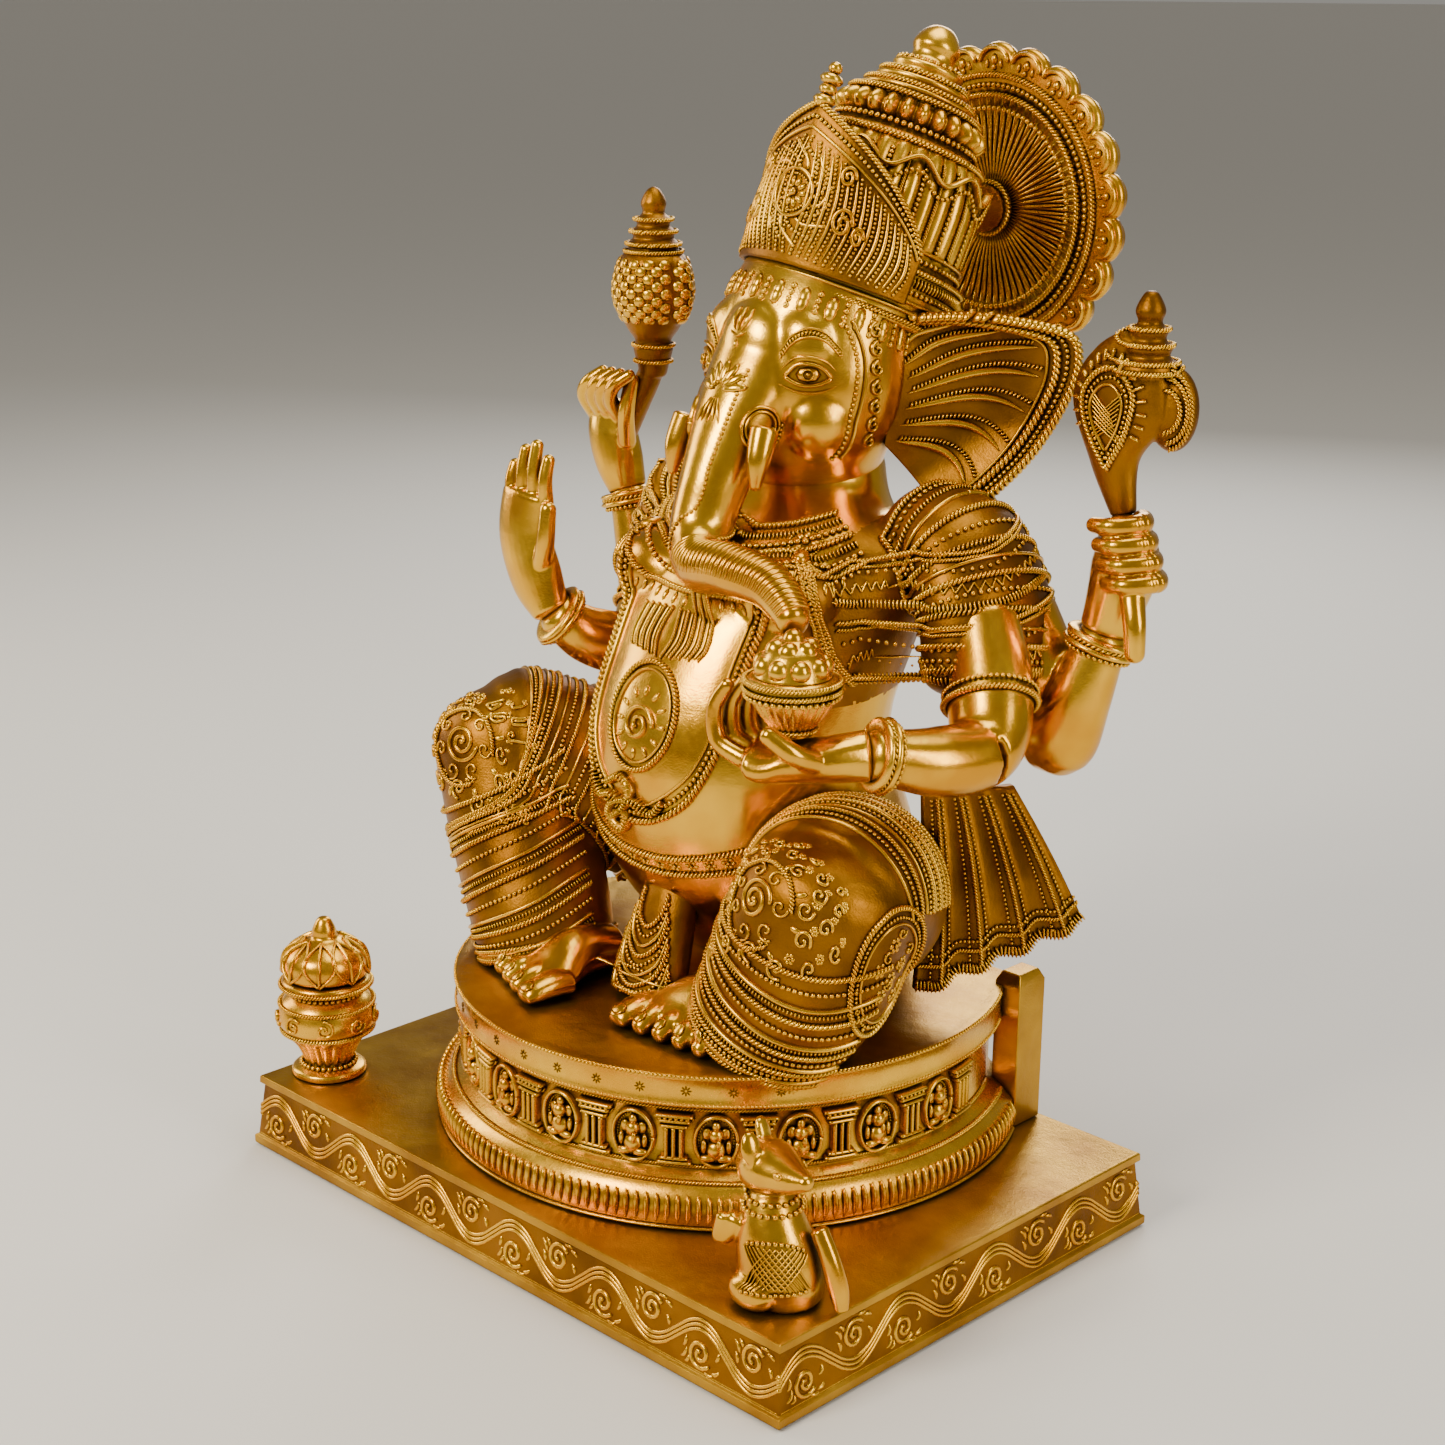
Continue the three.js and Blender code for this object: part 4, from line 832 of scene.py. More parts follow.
rows = [np.column_stack([plan(r, BACK + (2 if z > 90 else 0)), np.full(DRUM_POINTS_AROUND, z)]) for r,
    z in DRUM_PROFILE]
drum_points = np.concatenate(rows)
drum_quads = grid_faces(len(rows), DRUM_POINTS_AROUND)
drum_mesh = mesh_of("drum", drum_points, drum_quads)
piece("pedestal_drum_casting", drum_mesh, "chased", ["pedestal_drum", "pedestal_deck"])
deck_rim = plan(129.6, BACK + 2)
deck_points = np.column_stack([np.concatenate([deck_rim * s + np.array([0, DRUM_Y * (1 - s)])
    for s in (1.0, 0.985, 0.97, 0.94, 0.7, 0.4, 0.02)]), np.repeat([106.3, 106.5, 106.0, 106.3, 106.35,
    106.3, 106.3], len(deck_rim))])
piece("pedestal_deck_top", mesh_of("deck", deck_points, grid_faces(7, len(deck_rim))), "satin")
for side in (-1, 1):
    post, faces = slab_rings([(7.2, 9.2, 37.3), (7.5, 9.5, 38.3), (7.5, 9.5, 108), (5.2, 7.2, 113)])
    sharp_piece("pedestal_post_" + ("left" if side > 0 else "right"), post + np.array([side * 111.5,
        108.5, 0]), faces, "satin", (), 0.8)


class Round:
    """Drawing board wrapped round the drum: x in millimetres from the front, y is the height."""

    def __init__(self, radius):
        self.radius = radius

    def spots(self, xy):
        angle = xy[:, 0] / self.radius - math.pi / 2
        out = np.stack([np.cos(angle), np.sin(angle), np.zeros(len(xy))], 1)
        return out * self.radius + np.column_stack([np.zeros(len(xy)), np.full(len(xy), DRUM_Y),
            xy[:, 1]]), out

    def draw(self, xy, step=0.9):
        xy = np.asarray(xy, float)
        length = np.sum(np.linalg.norm(np.diff(xy, axis=0), axis=1))
        return self.spots(smooth(xy, np.linspace(0, len(xy) - 1, max(int(length / step), 4))))

    def at(self, x, y):
        spots, out = self.spots(np.array([[x, y]], float))
        return spots[0], out[0]


FRIEZE, FASCIA, FOOT_RING = Round(124.2), Round(129.6), Round(137.6)
frieze = Chasing()
REACH = 2.10  # radians of frieze on either side of the front
frieze.beads(FASCIA.draw([(-REACH * 129, 105.6), (REACH * 129, 105.6)], 2), 0.9, 2.0)
frieze.beads(FASCIA.draw([(-REACH * 129, 92.6), (REACH * 129, 92.6)], 2), 0.8, 1.8)
frieze.rope(FRIEZE.draw([(-REACH * 123, 88.6), (REACH * 123, 88.6)], 2), 1.3)
frieze.rope(FRIEZE.draw([(-REACH * 123, 61.4), (REACH * 123, 61.4)], 2), 1.2)
for k in range(int(REACH * 2 * 137 / 4.6)):
    x = -REACH * 137 + 4.6 * k
    frieze.line(FOOT_RING.draw([(x, 40), (x + 0.4, 47), (x, 54)]), 3.0, 1.9, True)
frieze.line(FOOT_RING.draw([(-REACH * 137, 38.6), (REACH * 137, 38.6)], 2), 1.6, 1.2)
frieze.rope(Round(131).draw([(-REACH * 131, 57), (REACH * 131, 57)], 2), 1.3)
UP = np.array([0, 0, 1.0])
BAY = 36.5
for k in range(-6, 7):
    x = k * BAY
    for dx in (-3.2, 0, 3.2):
        frieze.line(FRIEZE.draw([(x + dx, 65), (x + dx, 80)]), 2.6, 2.8)
    for y, wide in ((63.6, 15), (65.6, 12), (80.6, 12), (83, 14), (85.4, 16.5)):
        frieze.line(FRIEZE.draw([(x - wide / 2, y), (x + wide / 2, y)]), 2.2, 2.8)
    frieze.beads(FRIEZE.draw([(x - 6, 84.2), (x + 6, 84.2)]), 1.0, 2.2, 2.6)
    if k == 6:
        continue
    middle = x + BAY / 2
    arch = circle((middle, 74), 9.2)
    arch[:, 1] = 74 + (arch[:, 1] - 74) * 1.28
    frieze.line(FRIEZE.draw(arch), 2.2, 2.2)
    frieze.beads(FRIEZE.draw((arch - (middle, 74)) * 0.84 + (middle, 74)), 0.6, 1.4)
    spot, out = FRIEZE.at(middle, 70)
    side_way = np.cross(UP, out)
    for dx, dy, deep, size in ((0, 0, 1.4, (4.6, 5.0, 3.6)), (0, 7.2, 2.0, (3.4, 3.6, 3.2)),
            (-3.9, 7.4, 1.0, (2.4, 3.0, 0.9)), (3.9, 7.4, 1.0, (2.4, 3.0, 0.9)), (0, 11.2, 1.4,
            (2.0, 2.6, 1.8)), (-3.6, -3.4, 2.2, (3.9, 1.9, 2.2)), (3.6, -3.4, 2.2, (3.9, 1.9, 2.2)),
            (1.2, 3.4, 4.0, (1.2, 3.0, 1.3)), (-5.4, 1.6, 1.6, (1.4, 3.6, 1.4)), (5.4, 1.6, 1.6,
            (1.4, 3.6, 1.4))):
        centre = spot + side_way * dx + UP * dy + out * deep
        frieze.grains(np.array([centre]), np.array([side_way]), np.array([out]), *size)
    for dx in (-13.5, 13.5):
        frieze.line(FRIEZE.draw(spiral((middle + dx * 0.92, 84), 2.6, 1.2, 0, 1 if dx > 0 else -1)),
            1.0, 1.0)
frieze.piece("pedestal_frieze")
stars = Chasing()
for k in range(-6, 7):
    for ray in range(8):
        angle = math.pi * ray / 4
        spot, out = Round(129.4).at(k * 20.5, 99)
        way = np.cross(UP, out) * math.cos(angle) + UP * math.sin(angle)
        stars.petal(spot + way * 1.5, way, out, 1.15, 0.4, 0.45)
FINISH["stamped"] = brass("stamped_marks", "#6d4a16", "#5c3b10", "#241303", 0.5, 4.0, 0.9, 0.2)
stars.piece("pedestal_stars", "stamped")
print("pedestal done")

# %% [markdown]
# ## Draped legs
# The lower garment is chased all over: beaded swags hang from each knee, cords run between them, and
# the knee itself carries a large scroll. The swags follow the shin's own two coordinates, so they wrap
# round it.
# %% Swags and scrolls on the legs
def limb_path(loft, skin, stations):
    """Path through (t, angle in degrees) stations of a loft, laid on a skin."""
    table = np.array(stations, float)
    fine = smooth(table, np.linspace(0, len(table) - 1, 40 * (len(table) - 1)))
    spots = loft.spot(fine[:, 0], np.radians(fine[:, 1]), 2.0)
    return skin.snap(spots)


def spiral_on(chasing, patch, x, y, radius, turns=1.7, start=0.0, hand=1, width=1.6):
    chasing.line(patch.draw(spiral((x, y), radius, turns, start, hand)), width, 0.9)
    spot, up = patch.at(x, y)
    chasing.petal(spot, patch.x, up, radius * 0.16, radius * 0.16, 1.0)


LEG_SKINS = {hand: Skin(LEG_MESHES[hand]) for hand in LEG_MESHES}
garment = Chasing()
SHIN_FRONT = 90  # degrees round the shin
for hand, sign in (("left", 1), ("right", -1)):
    shin, thigh, skin = SHINS[hand], THIGHS[hand], LEG_SKINS[hand]
    for row in range(14):
        top = 0.42 + row * 0.165
        sag = 0.34
        swag = [(top, SHIN_FRONT - 92), (top + sag * 0.8, SHIN_FRONT - 45), (top + sag, SHIN_FRONT),
            (top + sag * 0.8, SHIN_FRONT + 45), (top, SHIN_FRONT + 92)]
        path = limb_path(shin, skin, swag)
        if row % 3 == 0:
            garment.rope(path, 1.7)
        elif row % 3 == 1:
            garment.beads(path, 1.15, 2.6)
        else:
            garment.line(path, 2.2, 1.3)
            garment.hatch(limb_path(shin, skin, [(t + 0.07, a) for t, a in swag]), 2.6, 1.7, 0.8)
    for low in (2.52, 2.62, 2.72, 2.82):
        hem = [(low, a) for a in range(100, 461, 30)]
        path = limb_path(shin, skin, hem)
        (garment.rope if low in (2.52, 2.82) else garment.beads)(path, 1.5 if low in (2.52, 2.82)
            else 1.0)
    knee_x, knee_z = (104, 186) if hand == "left" else (-117, 206)
    board = Patch(skin, (knee_x, -62 if hand == "left" else -50, knee_z - 4))
    spiral_on(garment, board, -8 * sign, 6, 10, 2.0, 0, sign, 2.2)
    for k in range(7):
        angle = k * 0.9
        x, y = -8 * sign + 15 * math.cos(angle), 6 + 15 * math.sin(angle)
        garment.line(board.draw(spiral((x, y), 4.6, 1.1, angle, 1 if k % 2 else -1)), 1.3, 0.8)
    garment.rope(board.draw(circle((-8 * sign, 6), 21, sweep=5.2)), 1.4)
    for k in range(9):
        angle = 0.35 + k * 0.7
        spot, up = board.at(-8 * sign + 25.5 * math.cos(angle), 6 + 25.5 * math.sin(angle))
        way = board.x * math.cos(angle) + board.y * math.sin(angle)
        garment.petal(spot, way, up, 3.0, 1.5, 0.9)
    for k in range(34):
        angle = k * 2.4
        reach = 28 + 1.1 * k
        x, y = -8 * sign + reach * math.cos(angle), 8 + reach * 0.8 * math.sin(angle)
        if y > -24:
            garment.line(board.draw(spiral((x, y), 5.2, 1.3, angle, 1 if k % 2 else -1)), 1.7, 0.9)
            rosette(garment, board, x + 6, y + 5, 3.0, 6, False)
    outer = Patch(skin, (sign * 168, -16 if hand == "left" else -2, 150 if hand == "left" else 172))
    oval = circle((0, 0), 24)
    oval[:, 1] *= 1.3
    garment.rope(outer.draw(oval), 1.6)
    garment.beads(outer.draw(oval * 0.86), 0.9, 2.1)
    garment.line(outer.draw(oval * 0.76), 1.4, 0.8)
    for k, (x, y) in enumerate([(0, 14), (-8, 4), (8, 3), (-5, -9), (6, -12), (0, -2)]):
        rosette(garment, outer, x, y, 4.2, 6, False)
        garment.line(outer.draw(spiral((x + 4, y + 5), 3.2, 1.1, k, 1 if k % 2 else -1)), 1.1, 0.7)
    for t in (0.5, 0.8, 1.1, 1.4, 1.7, 2.0, 2.3):
        for shift, kind in ((0, "rope"), (0.09, "beads"), (0.18, "line")):
            path = limb_path(thigh, skin, [(t + shift, sign * a) for a in range(-50, 231, 20)])
            if kind == "rope":
                garment.rope(path, 1.4)
            elif kind == "beads":
                garment.beads(path, 1.0, 2.3)
            else:
                garment.line(path, 1.6, 0.9)
garment.piece("leg_garment_chasing")

# %% [markdown]
# ## Front pleats
# Between the shins hangs a fall of cloth. Nested U rows of cord, beads and plain line mark its folds;
# they are drawn in space and laid on the casting.
# %% Front pleats
pleat_work = Chasing()
pleat_skin = Skin(pleats_mesh, *LEG_MESHES.values())
for row in range(12):
    top = 166 - row * 4.2
    wide = 14 + row * 1.2
    drop = 16 + row * 0.9
    u = [(2 - wide, -40, top), (2 - wide * 0.75, -45, top - drop * 0.7), (3, -50, top - drop),
         (3 + wide * 0.75, -45, top - drop * 0.7), (3 + wide, -40, top)]
    path = drawn(pleat_skin, [p for p in u if p[2] > 108])
    if row % 3 == 0:
        pleat_work.rope(path, 1.5)
    elif row % 3 == 1:
        pleat_work.beads(path, 1.0, 2.3)
    else:
        pleat_work.line(path, 1.8, 1.2)
pleat_work.piece("front_pleats_chasing")

# %% [markdown]
# ## Sashes
# At each hip an end of the waist cloth fans out. A cosine folds the sheet into four pleats that grow
# towards the hem, and a second grid closes it into a body with real thickness. Cords and beads follow
# the folds, with a hatched fringe at the hem.
# %% Sashes
def sash(sign):
    """Fan of pleated cloth at the hip, its thickness folded in and out."""
    across, down = 90, 40
    top = np.array([(sign * 84, 66, 204), (sign * 112, 96, 206)], float)
    hem = np.array([(sign * 98, 48, 116), (sign * 142, 112, 146)], float)
    outward = unit([sign * 0.9, -0.42, 0])
    u, v = np.meshgrid(np.linspace(0, 1, across), np.linspace(0, 1, down))
    u, v = u.ravel()[:, None], v.ravel()[:, None]
    upper, lower = top[0] + (top[1] - top[0]) * u, hem[0] + (hem[1] - hem[0]) * u
    fold = (0.5 - 0.5 * np.cos(2 * np.pi * 4 * u)) ** 1.4 * (1.0 + 3.4 * v)
    points = upper + (lower - upper) * v + outward * (fold + 0.6 + 4 * np.sin(np.pi * v))
    points[:, 2] -= (3.0 * np.abs(np.sin(2 * np.pi * 2 * u)) * v ** 3)[:, 0]
    back = upper + (lower - upper) * v + outward * (fold * 0.7 - 3.2 + 4 * np.sin(np.pi * v))
    return points, back, across, down, outward


def sheet_body(front, back, across, down):
    """Closes two grids of points into one thick sheet."""
    grid = np.arange(across * down).reshape(down, across)
    face = grid_faces(down, across, False)
    rim = np.concatenate([grid[0], grid[1:, -1], grid[-1, -2::-1], grid[-2:0:-1, 0]])
    loop = np.stack([rim, np.roll(rim, -1), np.roll(rim, -1) + len(front), rim + len(front)], 1)
    return np.concatenate([front, back]), np.concatenate([face, face[:, ::-1] + len(front),
        loop[:, ::-1]])


sash_work = Chasing()
for sign, hand in ((1, "left"), (-1, "right")):
    front, back, across, down, outward = sash(sign)
    piece("sash_" + hand + "_casting", mesh_of("sash", *sheet_body(front, back, across, down)), "ground",
          ["sash_" + hand])
    grid = front.reshape(down, across, 3)
    ups = np.tile(outward, (max(across, down), 1))
    for column in (11, 33, 56, 78):
        path = (grid[2:-2, column], ups[:down - 4])
        sash_work.rope((path[0] + outward * 0.4, path[1]), 1.3)
        for offset in (-5, 5):
            line_path = (grid[2:-2, column + offset] + outward * 0.3, ups[:down - 4])
            sash_work.beads(line_path, 0.8, 2.1)
    for row, kind in ((-2, "hatch"), (-6, "rope"), (-8, "beads")):
        path = (grid[row] + outward * 0.4, ups[:across])
        if kind == "hatch":
            sash_work.hatch(path, 6.5, 1.7, 1.0)
        elif kind == "rope":
            sash_work.rope(path, 1.2)
        else:
            sash_work.beads(path, 0.9, 2.0)
sash_work.piece("sash_chasing")

# %% [markdown]
# ## Toenails
# A chaser could strike each nail with one punch. Here each is a flattened grain laid on top of its toe,
# wider on the big toe.
# %% Toenails
foot_work = Chasing()
for hand, (spot, turn, inner) in FEET.items():
    skin = Skin(FOOT_MESHES[hand])
    angle = math.radians(turn)
    for k in range(5):
        x = inner * (23.5 - 11.6 * k - (1.5 if k else 0))
        y = -29.5 + 2.2 * k
        place = np.array([x * math.cos(angle) - y * math.sin(angle), x * math.sin(angle)
            + y * math.cos(angle), 10.5])
        at, up = skin.snap([place + np.array([spot[0], spot[1], DECK_TOP])])
        foot_work.grains(at - up * 0.1, np.array([[math.sin(angle), -math.cos(angle), -0.2]]), up, 3.6,
                         4.4 if k == 0 else 3.0, 0.7)
foot_work.piece("toenails", "polished", "polished_brass")

# %% [markdown]
# ## Torso ornament
# A broad collar, two shoulder capes of banded cloth, and a long garland that frames an oval medallion
# on the chest. A knotted snake serves as a belt under the smooth belly.
# %% Collar, capes, garland and belt
torso_skin = Skin(torso_mesh, head_mesh)
jewel = Chasing()


def ring_on(skin, centre, radii, tilt):
    """Arc round the front of the neck: radii across and deep, tilted forwards."""
    angle = np.radians(np.linspace(200, 340, 90))
    x = centre[0] + radii[0] * np.cos(angle)
    y = centre[1] + radii[1] * np.sin(angle)
    z = centre[2] + tilt * np.sin(angle)
    return skin.snap(np.stack([x, y, z], 1))


for k in range(7):
    path = ring_on(torso_skin, (2, 62, 330 - k * 1.4), (44 + k * 4.4, 42 + k * 3.4), 5 + k * 4.2)
    kind = k % 3
    if kind == 0:
        jewel.rope(path, 1.8)
    elif kind == 1:
        jewel.hatch(path, 4.6, 1.8, 1.2)
    else:
        jewel.beads(path, 1.5, 3.2)
for k in range(26):
    angle = math.radians(205 + k * 5)
    spots, ups = torso_skin.snap([(2 + 74 * math.cos(angle), 62 + 64 * math.sin(angle),
        320 + 33 * math.sin(angle))])
    jewel.grains(spots, np.array([[math.cos(angle), math.sin(angle) * 0.6, -0.9]]), ups, 3.2, 1.3, 1.1)
for sign in (-1, 1):
    chest = Patch(torso_skin, (sign * 44, 26, 322))
    rosette(jewel, chest, 0, 0, 7, 8)
    spot, up = chest.at(0, -13)
    jewel.petal(spot + up, chest.y, up, 6.5, 4.0, 3.4)
    jewel.rope(chest.draw([(-4, -8), (4, -8)]), 1.4)
    jewel.rope(chest.draw([(-4, -20), (4, -20)]), 1.4)
    for dx in (-3, 0, 3):
        jewel.line(chest.draw([(dx, -21), (dx * 1.6, -29)]), 1.5, 1.0)
    for band in range(8):
        z = 330 - band * 9.2
        reach = 112 + band * 2.2 if sign > 0 else 94 + band * 1.4
        path = drawn(torso_skin, [(sign * (58 + band * 2), 18 + band * 2, z - 8), (sign * reach * 0.86,
            30, z - 4), (sign * (reach + 12), 66, z), (sign * reach * 0.9, 112, z + 2), (sign * 58, 128,
            z)])
        if band % 4 == 0:
            jewel.rope(path, 1.5)
            jewel.rope(drawn(torso_skin, path[0][::6] + np.array([0, 0, -3.0])), 1.2)
        elif band % 4 == 1:
            jewel.beads(path, 1.1, 4.2)
        elif band % 4 == 2:
            spots, ups = evenly(*path, 2.6)
            zigzag = spots + np.where(np.arange(len(spots)) % 2, 2.4, -2.4)[:, None] * np.array([0, 0,
                1.0])
            jewel.line(torso_skin.snap(zigzag), 1.0, 0.8)
            jewel.beads(path, 0.6, 5.2)
        else:
            jewel.hatch(path, 4.6, 1.9, 1.0)
    for k in range(5):
        edge = drawn(torso_skin, [(sign * (50 + 3.6 * k), 16, 330), (sign * (60 + 3.2 * k), 10, 300),
                                  (sign * (70 + 3.0 * k), 16, 272), (sign * (80 + 3.0 * k), 30, 256)])
        (jewel.rope if k % 2 == 0 else jewel.beads)(edge, 1.4 if k % 2 == 0 else 1.1)
for cape in (CAPE_LEFT, CAPE_RIGHT):
    for k, t in enumerate(np.linspace(0.15, 2.95, 15)):
        turn = np.linspace(0, 2 * np.pi, 100)
        spots = cape.spot(np.full(100, t), turn, 3.0)
        spots = spots[(spots[:, 2] > 246) & (np.abs(spots[:, 0]) > 58)]
        if len(spots) < 12:
            continue
        step = np.linalg.norm(np.diff(spots, axis=0), axis=1)
        cut = int(np.argmax(step)) + 1 if step.max() > 6 else 0
        path = torso_skin.snap(np.concatenate([spots[cut:], spots[:cut]]))
        if k % 4 == 0:
            jewel.rope(path, 1.8)
        elif k % 4 == 1:
            jewel.beads(path, 1.2, 3.6)
        elif k % 4 == 2:
            jewel.hatch(path, 4.4, 2.1, 1.1, 0.7)
        else:
            jewel.line(path, 1.8, 1.1)
cape_ground = torso.data
cape_ground.materials.append(FINISH["ground"])
for face in cape_ground.polygons:
    face.material_index = int(abs(face.center.x) / MM > 56 and face.center.z / MM > 248)
for inset, kind in ((0, "rope"), (4.0, "beads"), (7.4, "line")):
    wide = 46 - inset
    loop_path = [(-wide, 6, 300), (-wide * 1.0, -14, 268), (-wide * 0.92, -26, 232), (-wide * 0.6, -34,
        204 + inset), (0, -40, 192 + inset), (wide * 0.6, -34, 204 + inset), (wide * 0.92, -26, 232),
        (wide * 1.0, -14, 268), (wide, 6, 300)]
    path = drawn(torso_skin, loop_path)
    if kind == "rope":
        jewel.rope(path, 2.2)
    elif kind == "beads":
        jewel.beads(path, 1.3, 2.8)
    else:
        jewel.line(path, 1.6, 1.1)
medallion = Patch(torso_skin, (0, -40, 244))
oval = circle((0, 0), 20)
oval[:, 1] *= 1.25
jewel.rope(medallion.draw(oval), 1.7)
jewel.line(medallion.draw(oval * 0.86), 1.4, 1.0)
jewel.line(medallion.draw(spiral((0, -4), 9, 1.7)), 2.2, 1.5)
for k in range(12):
    angle = k * math.pi / 6
    spot, up = medallion.at(13.2 * math.cos(angle), -3 + 14.5 * math.sin(angle))
    way = medallion.x * math.cos(angle) + medallion.y * math.sin(angle)
    jewel.petal(spot, way, up, 2.9, 1.3, 1.1)
for k in range(9):
    for dx in (-1, 1):
        path = medallion.draw([(dx * (2 + k * 2.6), 28 + 0.4 * k), (dx * (5 + k * 2.6), 38),
            (dx * (3 + k * 2.6), 52)])
        (jewel.line if k % 2 else jewel.rope)(path, 1.4 if k % 2 else 1.1)
for shift, kind in ((0, "rope"), (5, "rosettes"), (10, "rope")):
    arc = [(x, 70 - 110 * math.sqrt(max(1 - (x / 72) ** 2, 0)), 172 + 0.006 * x * x - shift) for x in
           range(-66, 67, 11)]
    path = drawn(torso_skin, arc)
    if kind == "rope":
        jewel.rope(path, 1.8)
    else:
        spots, ups = evenly(*path, 9)
        for spot, up in zip(spots, ups):
            board = Patch(torso_skin, spot)
            rosette(jewel, board, 0, 0, 3.6, 6, False)
knot = Patch(torso_skin, (-8, -40, 198))
for path in ([(-22, 10), (-14, 2), (-4, 4), (4, -4), (0, -12), (-8, -8), (-4, 0), (8, 4), (20, 0),
        (27, 6)], [(-6, 10), (2, 14), (8, 8), (4, 0), (-4, -6)]):
    jewel.line(knot.draw(path), 4.6, 3.0, True)
    jewel.hatch(knot.draw(path), 4.2, 1.8, 3.3)
jewel.piece("torso_jewellery", "chased", "polished_brass")
print("torso ornament done")

# %% [markdown]
# ## Face, ears and trunk
# The eye is almond shaped, with a heavy lower lid and a long arched brow of two lines with hatching
# between. A trident mark stands on the forehead and a lotus opens at the root of the trunk.
# %% Face
head_skin = Skin(head_mesh)
face = Chasing()
for sign in (1, -1):
    eye = Patch(head_skin, (sign * 36 + 4, 30, 391))
    lid = [(-10, -1.5), (-5, 3.6), (1, 4.6), (7, 2.2), (11, -2.0)]
    low = [(-10, -1.5), (-4, -4.6), (2, -5.2), (7, -4.0), (11, -2.0)]
    face.line(eye.draw(lid), 2.0, 1.3)
    face.line(eye.draw(low), 2.2, 1.5)
    face.line(eye.draw([(x * 1.25, y - 3.2) for x, y in low]), 1.4, 0.8, True)
    face.line(eye.draw([(x * 1.2, y + 3.0) for x, y in lid]), 1.5, 0.9, True)
    spot, up = eye.at(0.5, -0.4)
    face.petal(spot, eye.x, up, 5.8, 3.7, 1.9)
    face.line(eye.draw(circle((0.5, -0.4), 2.4)), 0.9, 2.2)
    face.petal(spot + up * 1.2, eye.x, up, 1.3, 1.3, 1.2)
    brow = [(-13 * sign, 6), (-8 * sign, 12), (0, 15.6), (9 * sign, 13.4), (16 * sign, 6.5)]
    for shift in (0, 3.6):
        face.line(eye.draw([(x, y + shift) for x, y in brow]), 1.3, 0.9, True)
    face.hatch(eye.draw([(x * 0.95, y + 1.8) for x, y in brow]), 2.8, 1.6, 0.8, 0.5)
    cheek = [(sign * 38 + 4, 52, 412), (sign * 45 + 4, 54, 395), (sign * 44 + 4, 52, 374),
        (sign * 34 + 3, 50, 354)]
    face.beads(drawn(head_skin, cheek), 1.1, 2.5)
    face.line(drawn(head_skin, [(x, y + 4, z) for x, y, z in cheek]), 1.8, 1.2)
    for k in range(7):
        temple = Patch(head_skin, (sign * 46 + 4, 64, 408 - k * 8.4))
        face.line(temple.draw(spiral((0, 0), 3.8, 1.2, 1.4, sign)), 1.7, 1.3)
    socket = Patch(head_skin, (3 + sign * 22, 20, 366))
    for radius in (7.6, 9.6):
        face.line(socket.draw(circle((0, 0), radius)), 1.8, 1.3)
mark = Patch(head_skin, (3, 30, 410))
for dx in (-4, 0, 4):
    face.line(mark.draw([(dx * 0.5, -5), (dx, 0), (dx * 1.1, 7)]), 1.7, 1.2, True)
face.line(mark.draw([(-5, -5), (0, -7.5), (5, -5)]), 1.6, 1.1, True)
spot, up = mark.at(0, -11)
face.petal(spot, mark.y, up, 2.4, 1.2, 1.0)
lotus = Patch(head_skin, (3, 20, 380))
for k in range(-3, 4):
    angle = math.pi / 2 + k * 0.42
    spot, up = lotus.at(9 * math.cos(angle), -2 + 9 * math.sin(angle))
    way = lotus.x * math.cos(angle) + lotus.y * math.sin(angle)
    face.petal(spot, way, up, 6.4, 2.2, 1.3)
for k in range(-2, 3):
    face.line(lotus.draw([(k * 1.0, -5), (k * 2.6, -12), (k * 3.6, -17)]), 1.5, 1.0, True)
for sign in (-1, 1):
    edge = [TRUNK.spot(t, math.radians(90 + sign * 62), 0.5)[0] for t in np.linspace(1.4, 4.6, 24)]
    face.beads(head_skin.snap(np.array(edge)), 1.0, 2.3)
turns = np.linspace(4.7, 7.8, 60)
for k, t in enumerate(turns):
    angle = np.radians(np.linspace(-60, 150, 14))
    path = TRUNK.spot(np.full(14, t) + 0.05 * np.sin(angle), angle, 0.0)
    face.line(head_skin.snap(path), 2.0, 1.1 if k % 2 else 0.6, True)
face.piece("face_chasing", "polished", "polished_brass")
TUSKS = Chasing()
for sign in (1, -1):
    tusk = Loft([[3 + sign * 24, 18, 366, 6.5, 6.5], [3 + sign * 25.5, 13, 354, 5.4, 5.4],
                 [3 + sign * 26, 11, 343, 2.6, 2.6]], domes=(0.3, 0.9))
    TUSKS.add(*tusk.body(rings=16, around=24))
TUSKS.piece("tusks", "polished", "polished_brass", ["tusk_left", "tusk_right"])

# %% [markdown]
# ## Fan ears
# An ear is a thin curved casting with one smooth edge. Its sheet is dished back and curls forward at
# the lower lobe, far more on the left ear than on the right. A roped and beaded rim and seven raised
# ribs are laid on it.
# %% Fan ears
EAR_SPOT, EAR_OUT = np.array([45.2, 76.4, 378.0]), unit([0.74, 0.67, 0])
EAR_EDGE = [(30, -56), (50, -42), (68, -24), (80, -4), (86, 14), (82, 28), (58, 34), (34, 36), (12, 35)]


def ear_spot(u, v, w, sign, curl, droop):
    """Point of the ear: u up its edge, v out from the head, w through its thickness."""
    reach, rise = smooth(EAR_EDGE, u * 8).T
    root = 22 * (2 * u - 1)
    low = np.where(rise > 0, rise * droop, rise) if droop != 1 else rise
    height = root + v * (low - root)
    lift = (w - 0.5) * 5 - 12 * np.sin(np.pi * v) * (1 - 0.4 * u) + np.maximum(0, 0.3 - u) * curl * v
    side = np.array([-EAR_OUT[1], EAR_OUT[0], 0]) * -1
    spots = EAR_SPOT + EAR_OUT * (reach * v)[:, None] + side * lift[:, None]
    spots[:, 2] += height
    spots[:, 0] *= sign
    return spots


